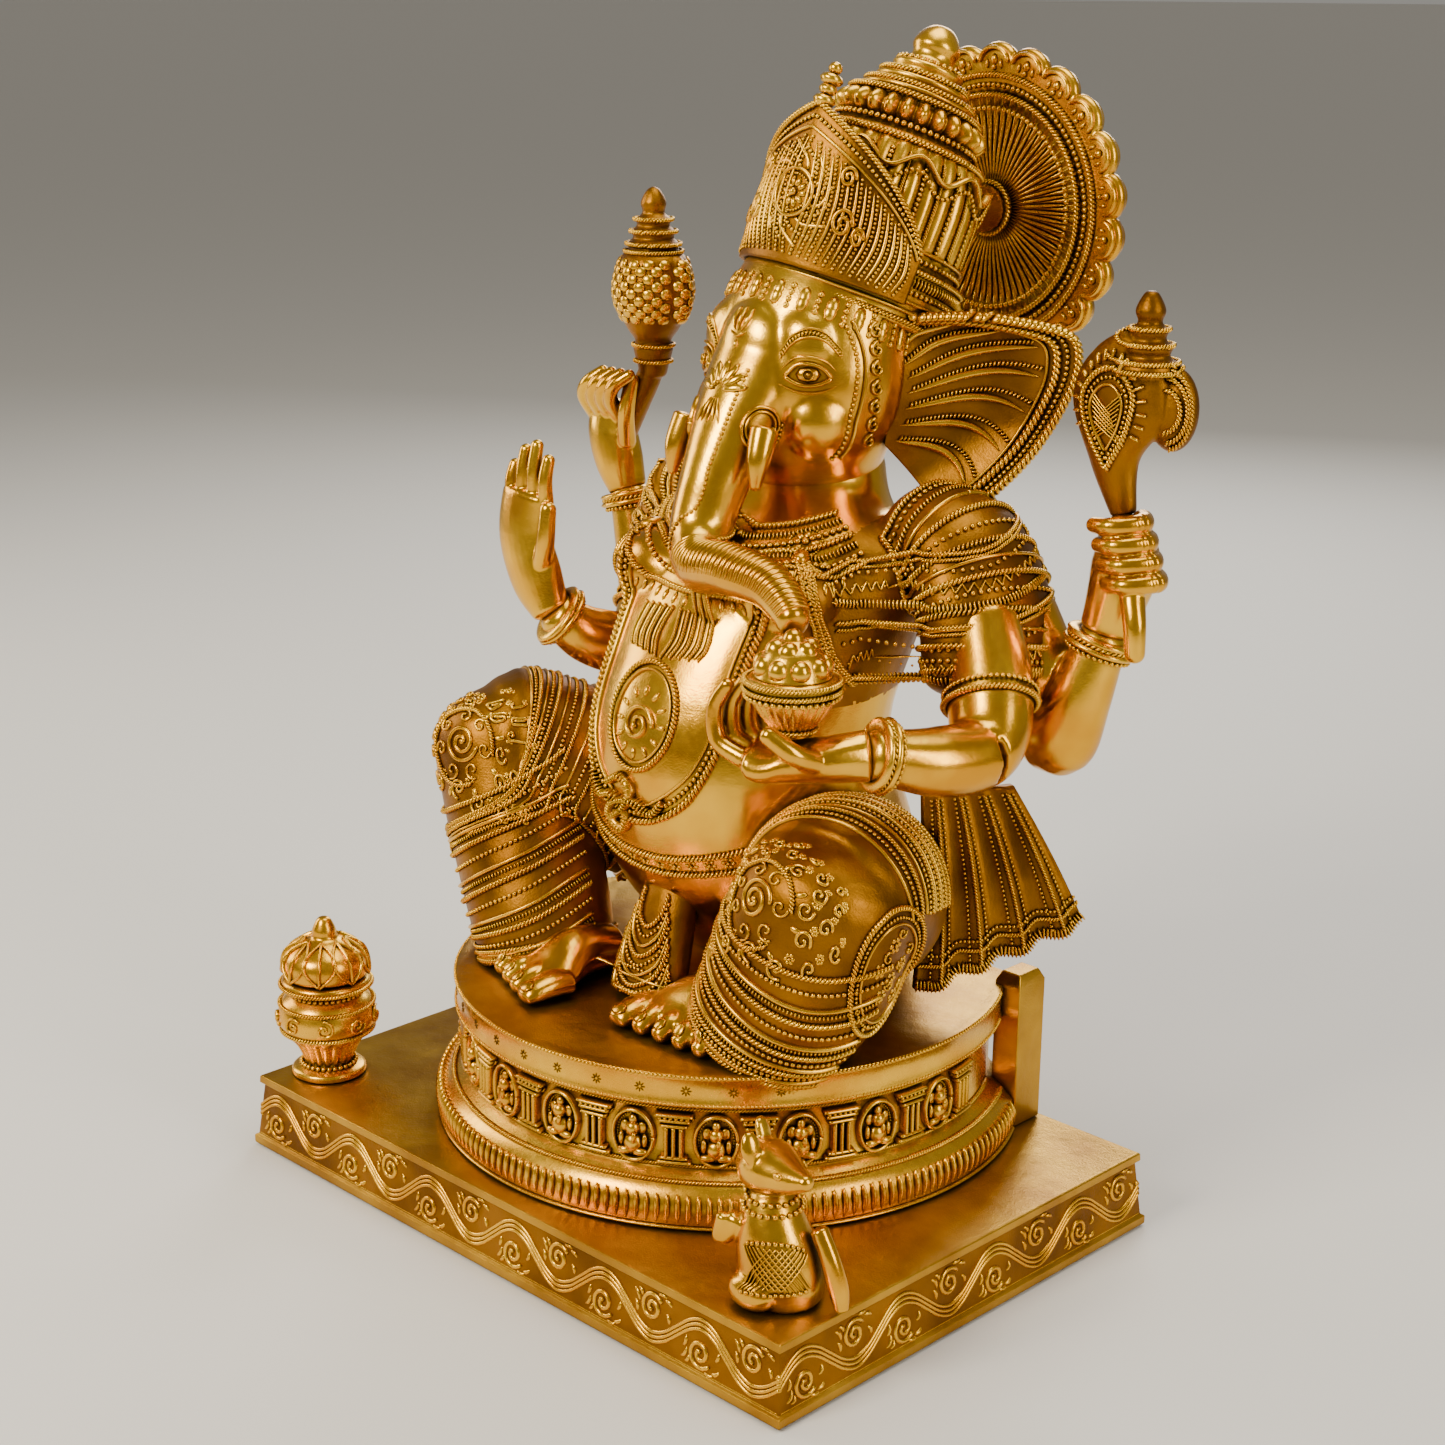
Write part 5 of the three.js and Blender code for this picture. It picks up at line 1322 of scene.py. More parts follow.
ear_work = Chasing()
for sign, hand, curl, droop in ((1, "left", 44, 1.0), (-1, "right", 8, 0.6)):
    across, down = 60, 50
    u, v = [g.ravel() for g in np.meshgrid(np.linspace(0, 1, across), np.linspace(0.02, 1, down))]
    front, back = ear_spot(u, v, 1.0, sign, curl, droop), ear_spot(u, v, 0.0, sign, curl, droop)
    points, faces = sheet_body(front, back, across, down)
    if sign < 0:
        faces = faces[:, ::-1]
    ear_mesh = mesh_of("ear", points, faces)
    piece("ear_" + hand + "_casting", ear_mesh, "ground", ["ear_" + hand])
    skin = Skin(ear_mesh)

    def on_ear(us, vs):
        return skin.snap(ear_spot(np.asarray(us, float), np.asarray(vs, float), 1.15, sign, curl, droop))

    walk = np.linspace(0.0, 1, 160)
    for v_line, kind in ((0.985, "rope"), (0.93, "beads"), (0.88, "rope"), (0.83, "line")):
        path = on_ear(walk, np.full(160, v_line))
        if kind == "rope":
            ear_work.rope(path, 2.4)
        elif kind == "beads":
            ear_work.beads(path, 1.2, 2.6)
        else:
            ear_work.line(path, 1.8, 1.2)
    for k in range(7):
        u_line = 0.10 + k * 0.125
        ribs = on_ear(u_line + 0.06 * np.sin(np.linspace(0, np.pi, 50)), np.linspace(0.12, 0.8, 50))
        ear_work.line(ribs, 4.0, 2.2, True)
        ear_work.hatch(on_ear(u_line + 0.06 * np.sin(np.linspace(0, np.pi, 50)) + 0.035,
            np.linspace(0.15, 0.8, 50)), 3.0, 1.9, 1.2, 0.6)
ear_work.piece("ear_chasing")
print("face and ears done")

# %% [markdown]
# ## Crown
# The crown leans back. It is turned about its own axis: a band with pendants over the forehead, a
# ribbed dome, a gadroon ring and a stepped knob. Rope, bead and hatch rings are then laid round it.
# %% Crown
CROWN_FOOT, CROWN_TIP = np.array([9, 92, 420.0]), np.array([21, 138, 535.0])
AXIS = unit(CROWN_TIP - CROWN_FOOT)
CROWN_X = unit(np.cross([0, 1.0, 0], AXIS))
CROWN_Y = np.cross(AXIS, CROWN_X)


def crown_points(local):
    return CROWN_FOOT + local[:, :1] * CROWN_X + local[:, 1:2] * CROWN_Y + local[:, 2:] * AXIS


def fluted(count, depth, low, high):
    """Relief of upright gadroons between two heights."""
    def relief(angle, height):
        inside = np.clip((height - low) * (high - height) * 0.5, 0, 1)
        return 1 + depth * (np.abs(np.cos(angle * count / 2)) - 0.6) * inside
    return relief


CROWN_PROFILE = [(30, -11), (45, -12), (46.5, -6), (48, 0), (48, 8), (47.5, 13), (43.5, 16), (44, 28),
    (44, 44), (42, 56), (38, 66), (32, 71), (30, 73), (33, 75.5), (34.5, 79), (32, 83), (26, 86.5),
    (27, 90), (21.5, 92.5), (22, 96), (16, 99.5), (16.5, 103.5), (11, 106.5), (9.8, 110), (11, 114),
    (9, 119), (5, 123), (0.1, 124.2)]


def crown_relief(angle, height):
    """Upright ribs on the dome and gadroons on the ring above it."""
    return fluted(30, 0.05, 20, 66)(angle, height) * fluted(26, 0.16, 73, 85)(angle, height)


points, faces = turned(CROWN_PROFILE, around=360, steps=5, relief=crown_relief)
piece("crown_casting", mesh_of("crown", crown_points(points), faces), "chased",
      ["crown_band", "crown_dome", "crown_finial"])
crown_work = Chasing()


def crown_ring(radius, height, wave=0.0, waves=0):
    """Ring round the leaning crown; a wave makes its height rise and fall."""
    angle = np.linspace(0, 2 * math.pi, 240)
    rise = height + wave * np.cos(waves * angle)
    out = np.stack([np.cos(angle), np.sin(angle), np.zeros(240)], 1)
    local = out * radius + np.column_stack([np.zeros(240), np.zeros(240), rise])
    return crown_points(local), unit(crown_points(out) - CROWN_FOOT)


for radius, height, kind in ((46, -9, "rope"), (47, -5, "line"), (48, -1, "line"), (48.4, 3.4, "beads"),
        (48.4, 8, "hatch"), (47.8, 12.6, "rope"), (44.4, 18, "beads"), (44.4, 22, "line"),
        (38.5, 66, "rope"), (33, 72.4, "beads"), (30, 86, "rope"), (24.5, 91.6, "rope"),
        (19.4, 98, "rope"), (14, 105, "beads")):
    path = crown_ring(radius, height)
    if kind == "rope":
        crown_work.rope(path, 1.7)
    elif kind == "beads":
        crown_work.beads(path, 1.4, 3.1)
    elif kind == "hatch":
        crown_work.hatch(path, 5.4, 2.0, 1.3)
    else:
        crown_work.line(path, 2.0, 1.4)
crown_work.line(crown_ring(45.0, 56, wave=4, waves=10), 2.2, 1.6)
crown_work.beads(crown_ring(45.2, 50, wave=4, waves=10), 1.1, 2.6)
for k in range(30):
    angle = 2 * math.pi * (k + 0.5) / 30
    heights = np.linspace(24, 60, 12)
    radius = np.interp(heights, [16, 28, 44, 56, 66], [43.5, 44.3, 44.3, 42.4, 38.4]) - 0.6
    out = np.array([math.cos(angle), math.sin(angle), 0])
    local = out * radius[:, None] + np.column_stack([np.zeros(12), np.zeros(12), heights])
    normal = np.tile(unit(crown_points(out[None])[0] - CROWN_FOOT), (12, 1))
    (crown_work.beads if k % 2 else crown_work.rope)((crown_points(local), normal), 1.1)
for k in range(26):
    angle = math.radians(168 + k * 7.6)
    out = np.array([[math.cos(angle), math.sin(angle), 0.0]])
    base = np.array([math.cos(angle) * 45, math.sin(angle) * 45, -12.0])
    normal = unit(crown_points(out)[0] - CROWN_FOOT)
    spots = crown_points(base[None] + np.array([[0, 0, -d] for d in (0, 3, 6, 9)]))
    spots, ups = head_skin.snap(spots)
    if k % 2:
        crown_work.grains(spots, np.tile(AXIS, (4, 1)), ups, 1.7, 1.5, 1.4)
    else:
        crown_work.grains(spots[1:3], np.tile(AXIS, (2, 1)), ups[1:3], 4.6, 2.8, 1.6)
crown_work.piece("crown_chasing")

# %% [markdown]
# ## Front plate of the crown
# A separate leaf of metal stands against the crown and rises to a point. Ribs and bead rows run up it,
# scrolls surround a rosette in the middle, and four grains are stacked on the tip.
# %% Leaf-shaped front plate
def front_plate(side, v, w):
    angle = -math.pi / 2 + side * 1.2
    rise = 14 + 54 * np.maximum(1 - np.abs(side), 0) ** 0.62
    height = -3 + v * (rise + 3)
    radius = 48.6 + 4 * w + 8 * (1 - (1 - v) ** 2) * np.maximum(0, 1 - 1.4 * np.abs(side))
    return crown_points(np.stack([radius * np.cos(angle), radius * np.sin(angle), height], 1))


sides, vs = [g.ravel() for g in np.meshgrid(np.linspace(-1, 1, 140), np.linspace(0, 1, 60))]
leaf_points, leaf_faces = sheet_body(front_plate(sides, vs, 1.0), front_plate(sides, vs, 0.0), 140, 60)
leaf_mesh = mesh_of("leaf", leaf_points, leaf_faces)
piece("crown_front_plate_casting", leaf_mesh, "ground", ["crown_front_plate"])
leaf_skin = Skin(leaf_mesh)
leaf_work = Chasing()
edge = np.linspace(-0.97, 0.97, 200)
for v_line, kind in ((0.98, "rope"), (0.90, "beads"), (0.83, "line")):
    path = leaf_skin.snap(front_plate(edge, np.full(200, v_line), 1.2))
    if kind == "rope":
        leaf_work.rope(path, 1.8)
    elif kind == "beads":
        leaf_work.beads(path, 1.1, 2.5)
    else:
        leaf_work.line(path, 1.5, 1.1)
for k in range(-13, 14):
    root, way = k * 0.066, (1 if k > 0 else -1)
    for part, kind in ((0.0, "line"), (0.03, "beads")):
        bend = root + part + way * 0.05 * np.sin(np.linspace(0, np.pi, 30))
        path = leaf_skin.snap(front_plate(bend, np.linspace(0.06, 0.78, 30), 1.2))
        if kind == "line":
            leaf_work.line(path, 2.0, 1.0, True)
        else:
            leaf_work.beads(path, 0.8, 1.9)
leaf_board = Patch(leaf_skin, front_plate(np.array([0.0]), np.array([0.42]), 1.2)[0], up=tuple(AXIS))
rosette(leaf_work, leaf_board, 0, 0, 7.5, 10)
leaf_work.line(leaf_board.draw(circle((0, 0), 10.4)), 1.8, 1.5)
for k in range(16):
    angle = k * math.pi / 8
    reach = 20 if abs(math.sin(angle)) < 0.8 else 24
    curve = [(11.5 * math.cos(angle), 11.5 * math.sin(angle)),
             (16 * math.cos(angle + 0.25), 16 * math.sin(angle + 0.25)),
             (reach * math.cos(angle + 0.7), reach * math.sin(angle + 0.7))]
    (leaf_work.line if k % 2 else leaf_work.beads)(leaf_board.draw(curve), 1.9 if k % 2 else 1.0)
for sign in (-1, 1):
    for x, y, r in ((30, -8, 7), (42, -12, 5), (27, 12, 5)):
        leaf_work.line(leaf_board.draw(spiral((sign * x, y), r, 1.8, 0, sign)), 2.2, 1.6)
tip = front_plate(np.array([0.0]), np.array([1.0]), 0.6)[0]
for lift, size in ((0, 5.2), (5, 4.2), (9.5, 5.4), (14.5, 3.2)):
    leaf_work.grains(np.array([tip + AXIS * lift]), CROWN_X[None], AXIS[None], size, size, 3.0)
leaf_work.piece("crown_front_plate_chasing")

# %% [markdown]
# ## Halo
# The disc is one grid of rings: a shallow dish with radial grooves inside a scalloped rim. Petal
# outlines are drawn on both faces of the rim, because the back of the disc is seen too.
# %% Halo
HALO_AT = np.array([18.0, 182.0, 452.0])
PETALS = 22
GROOVES = 66
HALO_POINTS_AROUND = 528
halo_rows = [(8, -3.5), (10, -1.6), (14, -1.0), (52, -1.2), (55, -3.0), (58, -3.4), (62, -3.0),
    (69, -3.4), (75, -2.6), (76, 0), (75, 2.4), (60, 3), (1, 3)]
angle = np.linspace(0, 2 * np.pi, HALO_POINTS_AROUND, endpoint=False)
scallop = 0.93 + 0.07 * np.abs(np.sin(angle * PETALS / 2)) ** 0.6
halo_points = []
for radius, deep in halo_rows:
    share = max(0.0, (radius - 62) / 14)
    r = radius * (1 + (scallop - 1) * share)
    groove = 0.7 * np.cos(angle * GROOVES) if 12 < radius < 53 else 0
    halo_points.append(np.stack([HALO_AT[0] + r * np.cos(angle), HALO_AT[1] + deep + groove + 0 * r,
                                 HALO_AT[2] + r * np.sin(angle)], 1))
piece("halo_casting", mesh_of("halo", np.concatenate(halo_points), grid_faces(len(halo_rows),
    HALO_POINTS_AROUND)), "chased", ["halo_disc"])
halo_work = Chasing()


def halo_ring(radius, deep):
    """Ring on the front of the disc, with normals that face forward."""
    angle = np.linspace(0, 2 * math.pi, 200)
    spots = HALO_AT + np.stack([radius * np.cos(angle), np.full(200, deep), radius * np.sin(angle)], 1)
    return spots, np.tile([0, -1.0, 0], (200, 1))


for radius, kind in ((12, "rope"), (46, "beads"), (52, "rope"), (56.5, "beads"), (61, "rope")):
    (halo_work.rope if kind == "rope" else halo_work.beads)(halo_ring(radius, -3.2), 1.7
        if kind == "rope" else 1.4)
for k in range(GROOVES):
    turn = 2 * math.pi * k / GROOVES
    ray = np.array([math.cos(turn), 0, math.sin(turn)])
    halo_work.line((HALO_AT + ray * np.linspace(15, 44, 8)[:, None] + np.array([0, -1.4, 0]),
                    np.tile([0, -1.0, 0], (8, 1))), 1.8, 1.2, True)
for k in range(PETALS):
    turn = 2 * math.pi * (k + 0.5) / PETALS
    ray = np.array([math.cos(turn), 0, math.sin(turn)])
    cross = np.array([-math.sin(turn), 0, math.cos(turn)])
    for face_y, way in ((-3.4, -1.0), (3.2, 1.0)):
        sweep = np.linspace(-2.5, 2.5, 26)
        arc = HALO_AT + ray * (66.5
            + 7 * np.cos(sweep * 0.62))[:, None] + cross * (8.2 * np.sin(sweep * 0.62))[:, None]
        arc[:, 1] += face_y
        ups = np.tile([0, way, 0], (26, 1))
        halo_work.line((arc, ups), 1.9, 1.5)
        for out, size in ((64.5, 1.6), (68, 2.6)):
            halo_work.grains((HALO_AT + ray * out + np.array([0, face_y, 0]))[None], ray[None],
                np.array([[0, way, 0]]), size, size * 0.8, 1.5)
        for off in (-4, 4):
            halo_work.grains((HALO_AT + ray * 66 + cross * off + np.array([0, face_y, 0]))[None],
                ray[None], np.array([[0, way, 0]]), 2.4, 0.9, 1.2)
halo_work.piece("halo_chasing")
print("crown and halo done")

# %% [markdown]
# ## Hands and what they hold
# One hand is raised open, one holds the bowl of sweets, and the two rear hands close round a bud and a
# looped noose on stems. Fingers are thin lofts melted into the palm.
# %% Hands
def finger(points, radius):
    table = [[x, y, z, radius * (1 - 0.1 * k), radius * (1 - 0.1 * k)] for k,
        (x, y, z) in enumerate(points)]
    return Loft(table, side=(0.3, 1, 0.2), domes=(0.6, 0.95)).body(rings=20, around=18)


def palm(stations, side):
    return Loft(stations, side=side, domes=(0.3, 0.6)).body(rings=24, around=28)


HANDS = {"front_right": [palm([[-95, 1, 266, 9, 10], [-104, 0, 280, 9, 16], [-111, -1, 300, 7.5, 17],
    [-109, -1, 320, 6, 16]], (0, 1, 0)), finger([(-98, -2, 286), (-92, -5, 300), (-91, -4, 316)], 5)],
    "front_left": [palm([[122, -17, 247, 10, 11], [110, -28, 245, 15, 10], [94, -38, 243, 18, 9],
    [84, -42, 244, 16, 8]], (0.5, 1, 0)), finger([(114, -36, 246), (112, -50, 252), (104, -57, 260)],
    5.2)], "rear_left": [palm([[156, 98, 288, 11, 11], [160, 100, 302, 13, 14], [163, 101, 318, 14, 16],
    [160, 102, 332, 10, 12]], (1, 0, 0)), finger([(176, 88, 308), (181, 84, 296), (182, 84, 284)],
    5.6)], "rear_right": [palm([[-153, 105, 303, 10, 10], [-158, 104, 316, 11, 14], [-162, 103, 332, 10,
    15], [-160, 102, 344, 7, 13]], (0, 1, 0)), finger([(-148, 100, 328), (-142, 94, 344),
    (-140, 96, 360)], 4.8)]}
for k in range(4):
    tip = (336, 344, 347, 341)[k]
    x = -120 + 7.9 * k
    HANDS["front_right"].append(finger([(x, 0, 312), (x + 0.5, -1.4, (314 + tip) / 2),
        (x + 1, 0.5, tip - 3)], 3.9))
    x, y = 77 - 1.5 * k, -24 - 8.5 * k
    HANDS["front_left"].append(finger([(x + 10, y, 244), (x - 2, y - 3, 250), (x - 4, y - 3, 264),
        (x + 1, y - 1, 274)], 4.5))
    z, reach = 336 - 8 * k, 3 * k
    HANDS["rear_left"].append(finger([(168 + reach, 104, z), (174 + reach, 94, z + 1), (166 + reach, 84,
        z), (156 + reach, 86, z - 1)], 5.0))
    x = -172 + 6.5 * k
    HANDS["rear_right"].append(finger([(x, 100, 340), (x + 3, 90, 350), (x + 10, 86, 358),
        (x + 17, 90, 364)], 4.3))
for hand, parts in HANDS.items():
    piece("hand_" + hand + "_casting", fused("hand", parts, voxel=0.6, rounds=3), "polished",
        ["hand_" + hand])

# %% [markdown]
# ## Bangles
# Each wrist has a rope ring and a bead ring with a plain ring between them, and a second plain ring
# beside the hand. The two front arms have a rope and bead band on the upper arm as well. All of them
# follow the arm's own loft, just outside its skin.
# %% Bangles
bangles = Chasing()


def bangle(loft, t, lift, radius, kind):
    turn = np.linspace(0, 2 * np.pi, 120)
    spots = loft.spot(np.full(120, t), turn, lift)
    centre = loft.spot(np.full(120, t), turn, -8)
    path = (spots, unit(spots - centre))
    getattr(bangles, kind)(path, radius)


for name, loft in ARMS.items():
    end = loft.spans
    bangle(loft, end - 0.12, 1.8, 1.9, "rope")
    bangle(loft, end - 0.30, 1.6, 1.2, "beads")
    for t in (end - 0.21, end - 0.02):
        turn = np.linspace(0, 2 * np.pi, 90)
        spots = loft.spot(np.full(90, t), turn, 1.6)
        bangles.line((spots, unit(spots - loft.spot(np.full(90, t), turn, -8))), 3.2, 2.4)
for name in ("front_left", "front_right"):
    bangle(ARMS[name], 1.15, 1.0, 1.6, "rope")
    bangle(ARMS[name], 1.0, 1.0, 1.2, "beads")
bangles.piece("bangles", "chased", "polished_brass")

# %% [markdown]
# ## The two emblems
# The bud is turned, with a stem that runs down into the hand, and is covered in staggered rows of
# scales. The noose is a flattened drop with a fin at its side and a stacked finial. Both are melted
# into one skin first and chased afterwards.
# %% Bud and noose
def stacked(profile, spot):
    """Turned body moved to its place."""
    points, faces = turned(profile, around=72, steps=4)
    return points + np.array(spot, float), faces


BUD_AT, LOOP_AT = np.array([-135, 106, 362.0]), np.array([156, 104, 338.0])
BUD_PROFILE = [(0.1, 0), (6, 0), (8, 6), (10, 14), (9, 18), (13, 24), (19, 36), (20, 46), (17, 58),
    (12, 64), (13, 66), (10, 69), (11, 72), (8, 75), (9, 78), (5.5, 81), (6.4, 86), (3.4, 92),
    (0.1, 94)]
bud_mesh = fused("bud", [stacked(BUD_PROFILE, BUD_AT), ball(BUD_AT + np.array([15, 2, 44]), (8, 7, 17)),
    Loft([[-156, 104, 326, 6, 6], [-147, 103, 344, 7.5, 7.5], [-138, 105, 360, 6.5, 6.5],
    [-135, 106, 368, 6, 6]]).body(rings=24, around=24)], voxel=0.8, rounds=2)
piece("lotus_bud_casting", bud_mesh, "ground", ["lotus_bud"])
LOOP_BODY = Loft([[2, 0, 0, 6, 5], [-4, 0, 22, 12, 8], [-3, 0, 44, 24, 10], [2, 0, 62, 20, 9],
    [6, 0, 74, 10, 8]], domes=(0.3, 0.3))
loop_points, loop_faces = LOOP_BODY.body()
FINIAL = [(0.1, 60), (12, 61), (12.8, 65), (9, 68), (10.2, 72), (7, 75), (8, 79), (5, 82), (6.4, 87),
    (3, 94), (0.1, 95)]
loop_mesh = fused("noose", [(loop_points + LOOP_AT, loop_faces), ball(LOOP_AT + np.array([20, 6, 46]),
    (12, 8, 18)), stacked(FINIAL, LOOP_AT + np.array([10, 0, 0]))], voxel=0.8, rounds=2)
piece("noose_casting", loop_mesh, "ground", ["noose"])
emblem = Chasing()
bud_skin, loop_skin = Skin(bud_mesh), Skin(loop_mesh)
for row in range(9):
    z = 26 + row * 4.2
    for k in range(14):
        turn = 2 * math.pi * (k + 0.5 * (row % 2)) / 14
        spots, ups = bud_skin.snap([BUD_AT + np.array([24 * math.cos(turn), 24 * math.sin(turn), z])])
        emblem.grains(spots, np.array([[0, 0, 1.0]]), ups, 3.0, 3.3, 1.2)
for z, radius in ((62, 14), (66, 13.6), (72, 11.4), (78, 9.4), (8, 9), (16, 10.4)):
    turn = np.linspace(0, 2 * np.pi, 80)
    ring = BUD_AT + np.stack([radius * np.cos(turn), radius * np.sin(turn), np.full(80, z)], 1)
    emblem.rope(bud_skin.snap(ring), 1.3)
for face_y in (-1, 1):
    board = Patch(loop_skin, LOOP_AT + np.array([-3, face_y * 12, 42]))
    drop = [(0, -22), (-10, -6), (-13, 8), (-6, 18), (5, 20), (13, 10), (10, -6), (1, -22)]
    emblem.rope(board.draw(drop), 1.7)
    emblem.beads(board.draw([(x * 0.8, y * 0.82) for x, y in drop]), 1.0, 2.3)
    emblem.line(board.draw([(x * 0.62, y * 0.66) for x, y in drop]), 1.4, 1.2)
    for k in range(-3, 4):
        emblem.line(board.draw([(-6 + k, -6 + k * 2.2), (7 + k * 0.4, 4 + k * 2.2)]), 0.9, 0.8)
        emblem.line(board.draw([(6 - k, -6 + k * 2.2), (-7 - k * 0.4, 4 + k * 2.2)]), 0.9, 0.8)
    for k in range(17):
        turn = math.radians(-35 + k * 15)
        inner, outer = (15 * math.cos(turn), 4 + 20 * math.sin(turn)), (20 * math.cos(turn),
            4 + 25 * math.sin(turn))
        emblem.line(board.draw([inner, outer]), 1.7, 1.3)
fin = LOOP_AT + np.array([20, 6, 46])
for radius in (19, 14, 9):
    turn = np.linspace(-1.4, 1.4, 40)
    path = loop_skin.snap(fin + np.stack([radius * 0.9 * np.cos(turn), np.full(40, -7.0),
        radius * np.sin(turn)], 1))
    emblem.rope(path, 1.5)
for z, radius in ((62, 13.4), (66, 13.2), (73, 10.6), (79.5, 8.4)):
    turn = np.linspace(0, 2 * np.pi, 80)
    ring = LOOP_AT + np.array([10, 0, 0]) + np.stack([radius * np.cos(turn), radius * np.sin(turn),
        np.full(80, z)], 1)
    emblem.rope(loop_skin.snap(ring), 1.3)
emblem.piece("emblem_chasing")

# %% [markdown]
# ## Bowl of sweets
# A turned bowl, fluted by letting its radius wave with the angle, holds round sweets heaped in three
# tiers. Rope and bead rings finish its rim and foot.
# %% Bowl of sweets
BOWL_AT = np.array([98, -37, 255.0])
points, faces = turned([(0.1, 0.2), (8, 0.2), (9, 3), (14, 10), (18, 17), (19.5, 22), (18.4, 25),
    (15.5, 25), (12, 18), (0.1, 14)], around=180, steps=5, relief=fluted(26, 0.08, 3, 20))
piece("sweet_bowl_casting", mesh_of("bowl", points + BOWL_AT, faces), "chased",
    ["sweet_bowl"])
heap = Chasing()
heap.add(*stacked([(0.1, 24), (15, 25), (15.5, 28), (12, 36), (5, 41), (0.1, 42)], BOWL_AT))
for count, ring, height in ((9, 12.5, 5), (6, 7.2, 11.5), (1, 0, 15.5)):
    for k in range(count):
        turn = 2 * math.pi * k / count + height
        centre = BOWL_AT + np.array([ring * math.cos(turn), ring * math.sin(turn), 25 + height])
        heap.add(*ball(centre, (4.7, 4.7, 5.0), rings=14, around=20))
heap.piece("sweets", "polished", "polished_brass", ["sweets"])
rim = Chasing()
turn = np.linspace(0, 2 * np.pi, 120)
for radius, z, kind in ((19.6, 24, "rope"), (19.8, 20.5, "rope"), (19, 17.6, "beads"), (9.4, 3, "rope")):
    out = np.stack([np.cos(turn), np.sin(turn), np.zeros(120)], 1)
    getattr(rim, kind)((BOWL_AT + out * radius + np.array([0, 0, z]), out), 1.4)
rim.piece("sweet_bowl_rim")
print("hands and emblems done")

# %% [markdown]
# ## Mouse
# The mouse sits up at the corner of the plate, with a cross-hatched cloth and a beaded collar. Body,
# head, ears, forelegs and haunches are small lofts and ellipsoids melted together, and the tail is a
# piece of its own.
# %% Mouse
MOUSE_AT, POT_AT = np.array([150, -94, 37.0]), np.array([-157, -93, 37.0])


def at(spot, body):
    return body[0] + spot, body[1]


mouse_mesh = fused("mouse", [at(MOUSE_AT, Loft([[0, 2, 1.5, 17, 15], [0, 1, 14, 19, 18],
    [-2, -1, 28, 16, 16], [-5, 0, 44, 10, 11]], domes=(0.05, 0.5)).body()),
    at(MOUSE_AT, Loft([[-16, 5, 54, 11, 10], [-6, 0, 57, 13, 11], [9, -4, 59, 8, 7], [19, -6, 61, 3.6,
    3.4]], side=(0, 1, 0), domes=(0.7, 0.8)).body()), at(MOUSE_AT, ball((-18, 8, 66), (2.6, 5, 7),
    (0, -20, 20))), at(MOUSE_AT, ball((-8, -10, 68), (2.6, 4.4, 7), (0, -20, -20))),
    at(MOUSE_AT, Loft([[-14, -10, 34, 5, 5], [-20, -14, 26, 4, 4], [-18, -15, 36, 3, 3]],
    side=(0, 1, 0)).body(rings=16)), at(MOUSE_AT, Loft([[-16, 10, 34, 5, 5], [-23, 10, 26, 4, 4],
    [-21, 9, 36, 3, 3]], side=(0, 1, 0)).body(rings=16)), at(MOUSE_AT, ball((-2, -14, 8), (12, 8, 8))),
    at(MOUSE_AT, ball((-2, 16, 8), (12, 8, 8))),], voxel=0.8, rounds=4)
piece("mouse_casting", mouse_mesh, "polished", ["mouse_body", "mouse_head"])
tail = Loft([[16, 6, 34, 4, 4], [22, 6, 24, 4.2, 4.2], [26, 7, 12, 4.4, 4.4], [28, 7, 3.2, 3, 3]],
    side=(0, 1, 0), domes=(0.5, 0.1))
tail_points, tail_faces = tail.body()
piece("mouse_tail_casting", mesh_of("tail", tail_points + MOUSE_AT, tail_faces), "polished",
    ["mouse_tail"])
mouse_skin = Skin(mouse_mesh)
mouse_work = Chasing()
saddle = Patch(mouse_skin, MOUSE_AT + np.array([12, -16, 22]))
for k in range(-4, 5):
    mouse_work.line(saddle.draw([(k * 2.6 - 8, -9), (k * 2.6 + 8, 9)]), 0.8, 0.7)
    mouse_work.line(saddle.draw([(k * 2.6 + 8, -9), (k * 2.6 - 8, 9)]), 0.8, 0.7)
mouse_work.beads(saddle.draw([(-15, 10), (0, 11), (15, 10)]), 1.1, 2.5)
mouse_work.beads(saddle.draw([(-15, -10), (0, -11), (15, -10)]), 1.1, 2.5)
turn = np.linspace(0, 2 * np.pi, 90)
for z, radius in ((46, 12), (42, 14)):
    ring = MOUSE_AT + np.stack([-5 + radius * np.cos(turn), radius * np.sin(turn), np.full(90, z)], 1)
    mouse_work.beads(mouse_skin.snap(ring), 1.3, 3.0)
for dy in (-12, 6):
    eye, up = mouse_skin.snap([MOUSE_AT + np.array([8, dy, 62])])
    mouse_work.grains(eye, np.array([[1.0, 0, 0]]), up, 2.4, 1.7, 1.2)
mouse_work.piece("mouse_chasing")

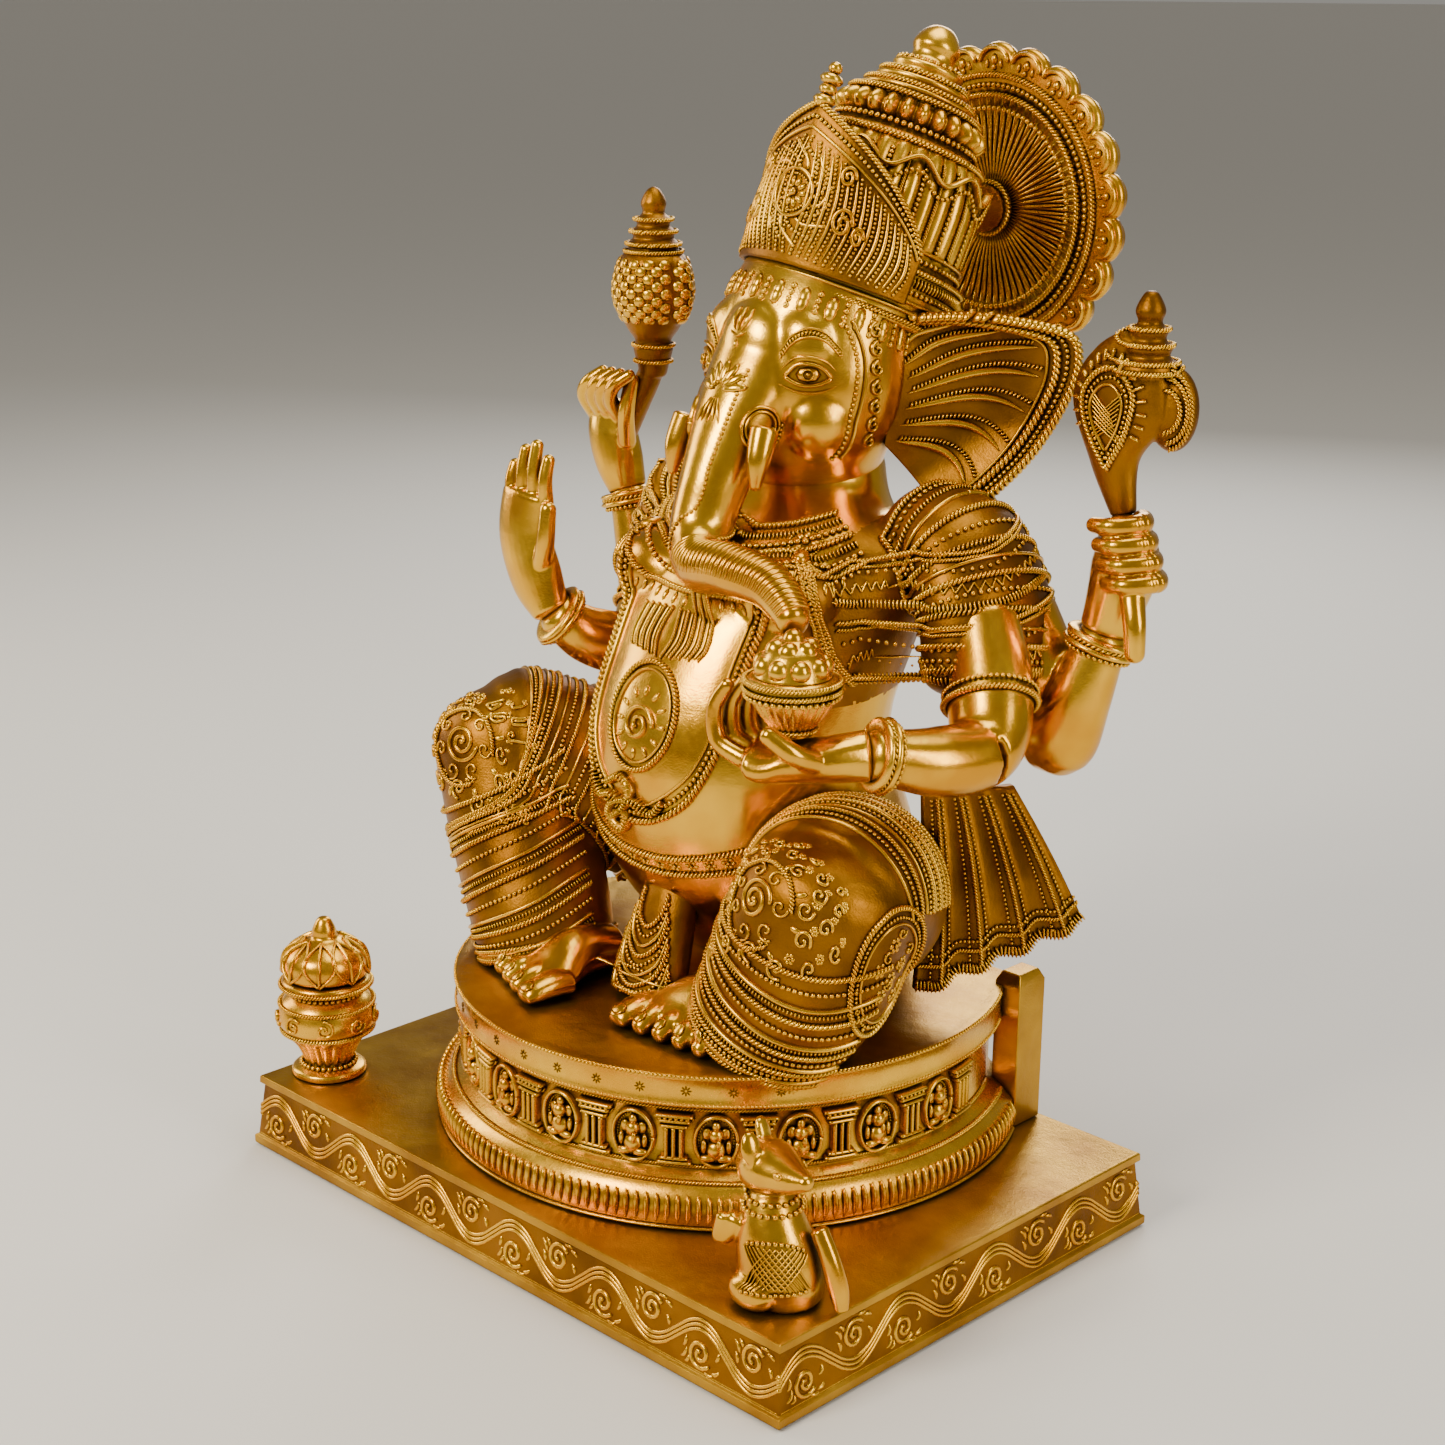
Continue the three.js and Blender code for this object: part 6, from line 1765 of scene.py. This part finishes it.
# %% [markdown]
# ## Filled pot
# A turned pot, fluted under its belly, carries a coconut that ends in a point. Lines that rise from the
# neck and close in on the coconut stand for the leaves round it.
# %% Filled pot
def pot_relief(angle, height):
    return fluted(18, 0.07, 7, 21)(angle, height)


points, faces = turned([(0.1, 0.3), (16, 0.3), (18, 2), (17, 4), (12, 6), (12.6, 10), (16, 17),
    (21, 23), (24, 30), (22, 38), (17, 43), (18, 45), (21.4, 47), (20.4, 50), (14, 51), (0.1, 51)],
    around=216, steps=5, relief=pot_relief)
pot_mesh = mesh_of("pot", points + POT_AT, faces)
piece("pot_casting", pot_mesh, "chased", ["pot"])
points, faces = turned([(0.1, 50), (18, 51), (20.5, 56), (18.5, 63), (11, 68.5), (6.4, 71), (5.6, 75),
    (3, 80), (0.1, 81)], around=120, steps=5)
coconut_mesh = mesh_of("coconut", points + POT_AT, faces)
piece("coconut_casting", coconut_mesh, "chased", ["coconut"])
pot_skin = Skin(pot_mesh, coconut_mesh)
pot_work = Chasing()
for z, radius, kind in ((24, 22.6, "rope"), (37.6, 22.8, "rope"), (47.5, 21.6, "rope"),
        (43, 17.4, "beads"), (5.6, 13, "beads")):
    ring = POT_AT + np.stack([radius * np.cos(turn), radius * np.sin(turn), np.full(90, z)], 1)
    getattr(pot_work, kind)(pot_skin.snap(ring), 1.3)
for k in range(9):
    angle = 2 * math.pi * k / 9
    board = Patch(pot_skin, POT_AT + np.array([25 * math.cos(angle), 25 * math.sin(angle), 31]))
    pot_work.line(board.draw(spiral((0, 0), 4.8, 1.4, k, 1 if k % 2 else -1)), 1.4, 0.9)
for k in range(8):
    angle = 2 * math.pi * k / 8
    ray = np.array([math.cos(angle), math.sin(angle), 0])
    cross = np.array([-math.sin(angle), math.cos(angle), 0])
    rise = np.linspace(0, 1, 20)[:, None]
    for side in (-1, 0, 1):
        path = POT_AT + ray * (20.5 - 12 * rise ** 1.6) + cross * side * 7 * np.sin(np.pi * rise) + [0,
            0, 1] * (52 + 17 * rise)
        pot_work.line(pot_skin.snap(path), 1.5 if side else 1.9, 1.1)
pot_work.piece("pot_chasing")
print("mouse and pot done")
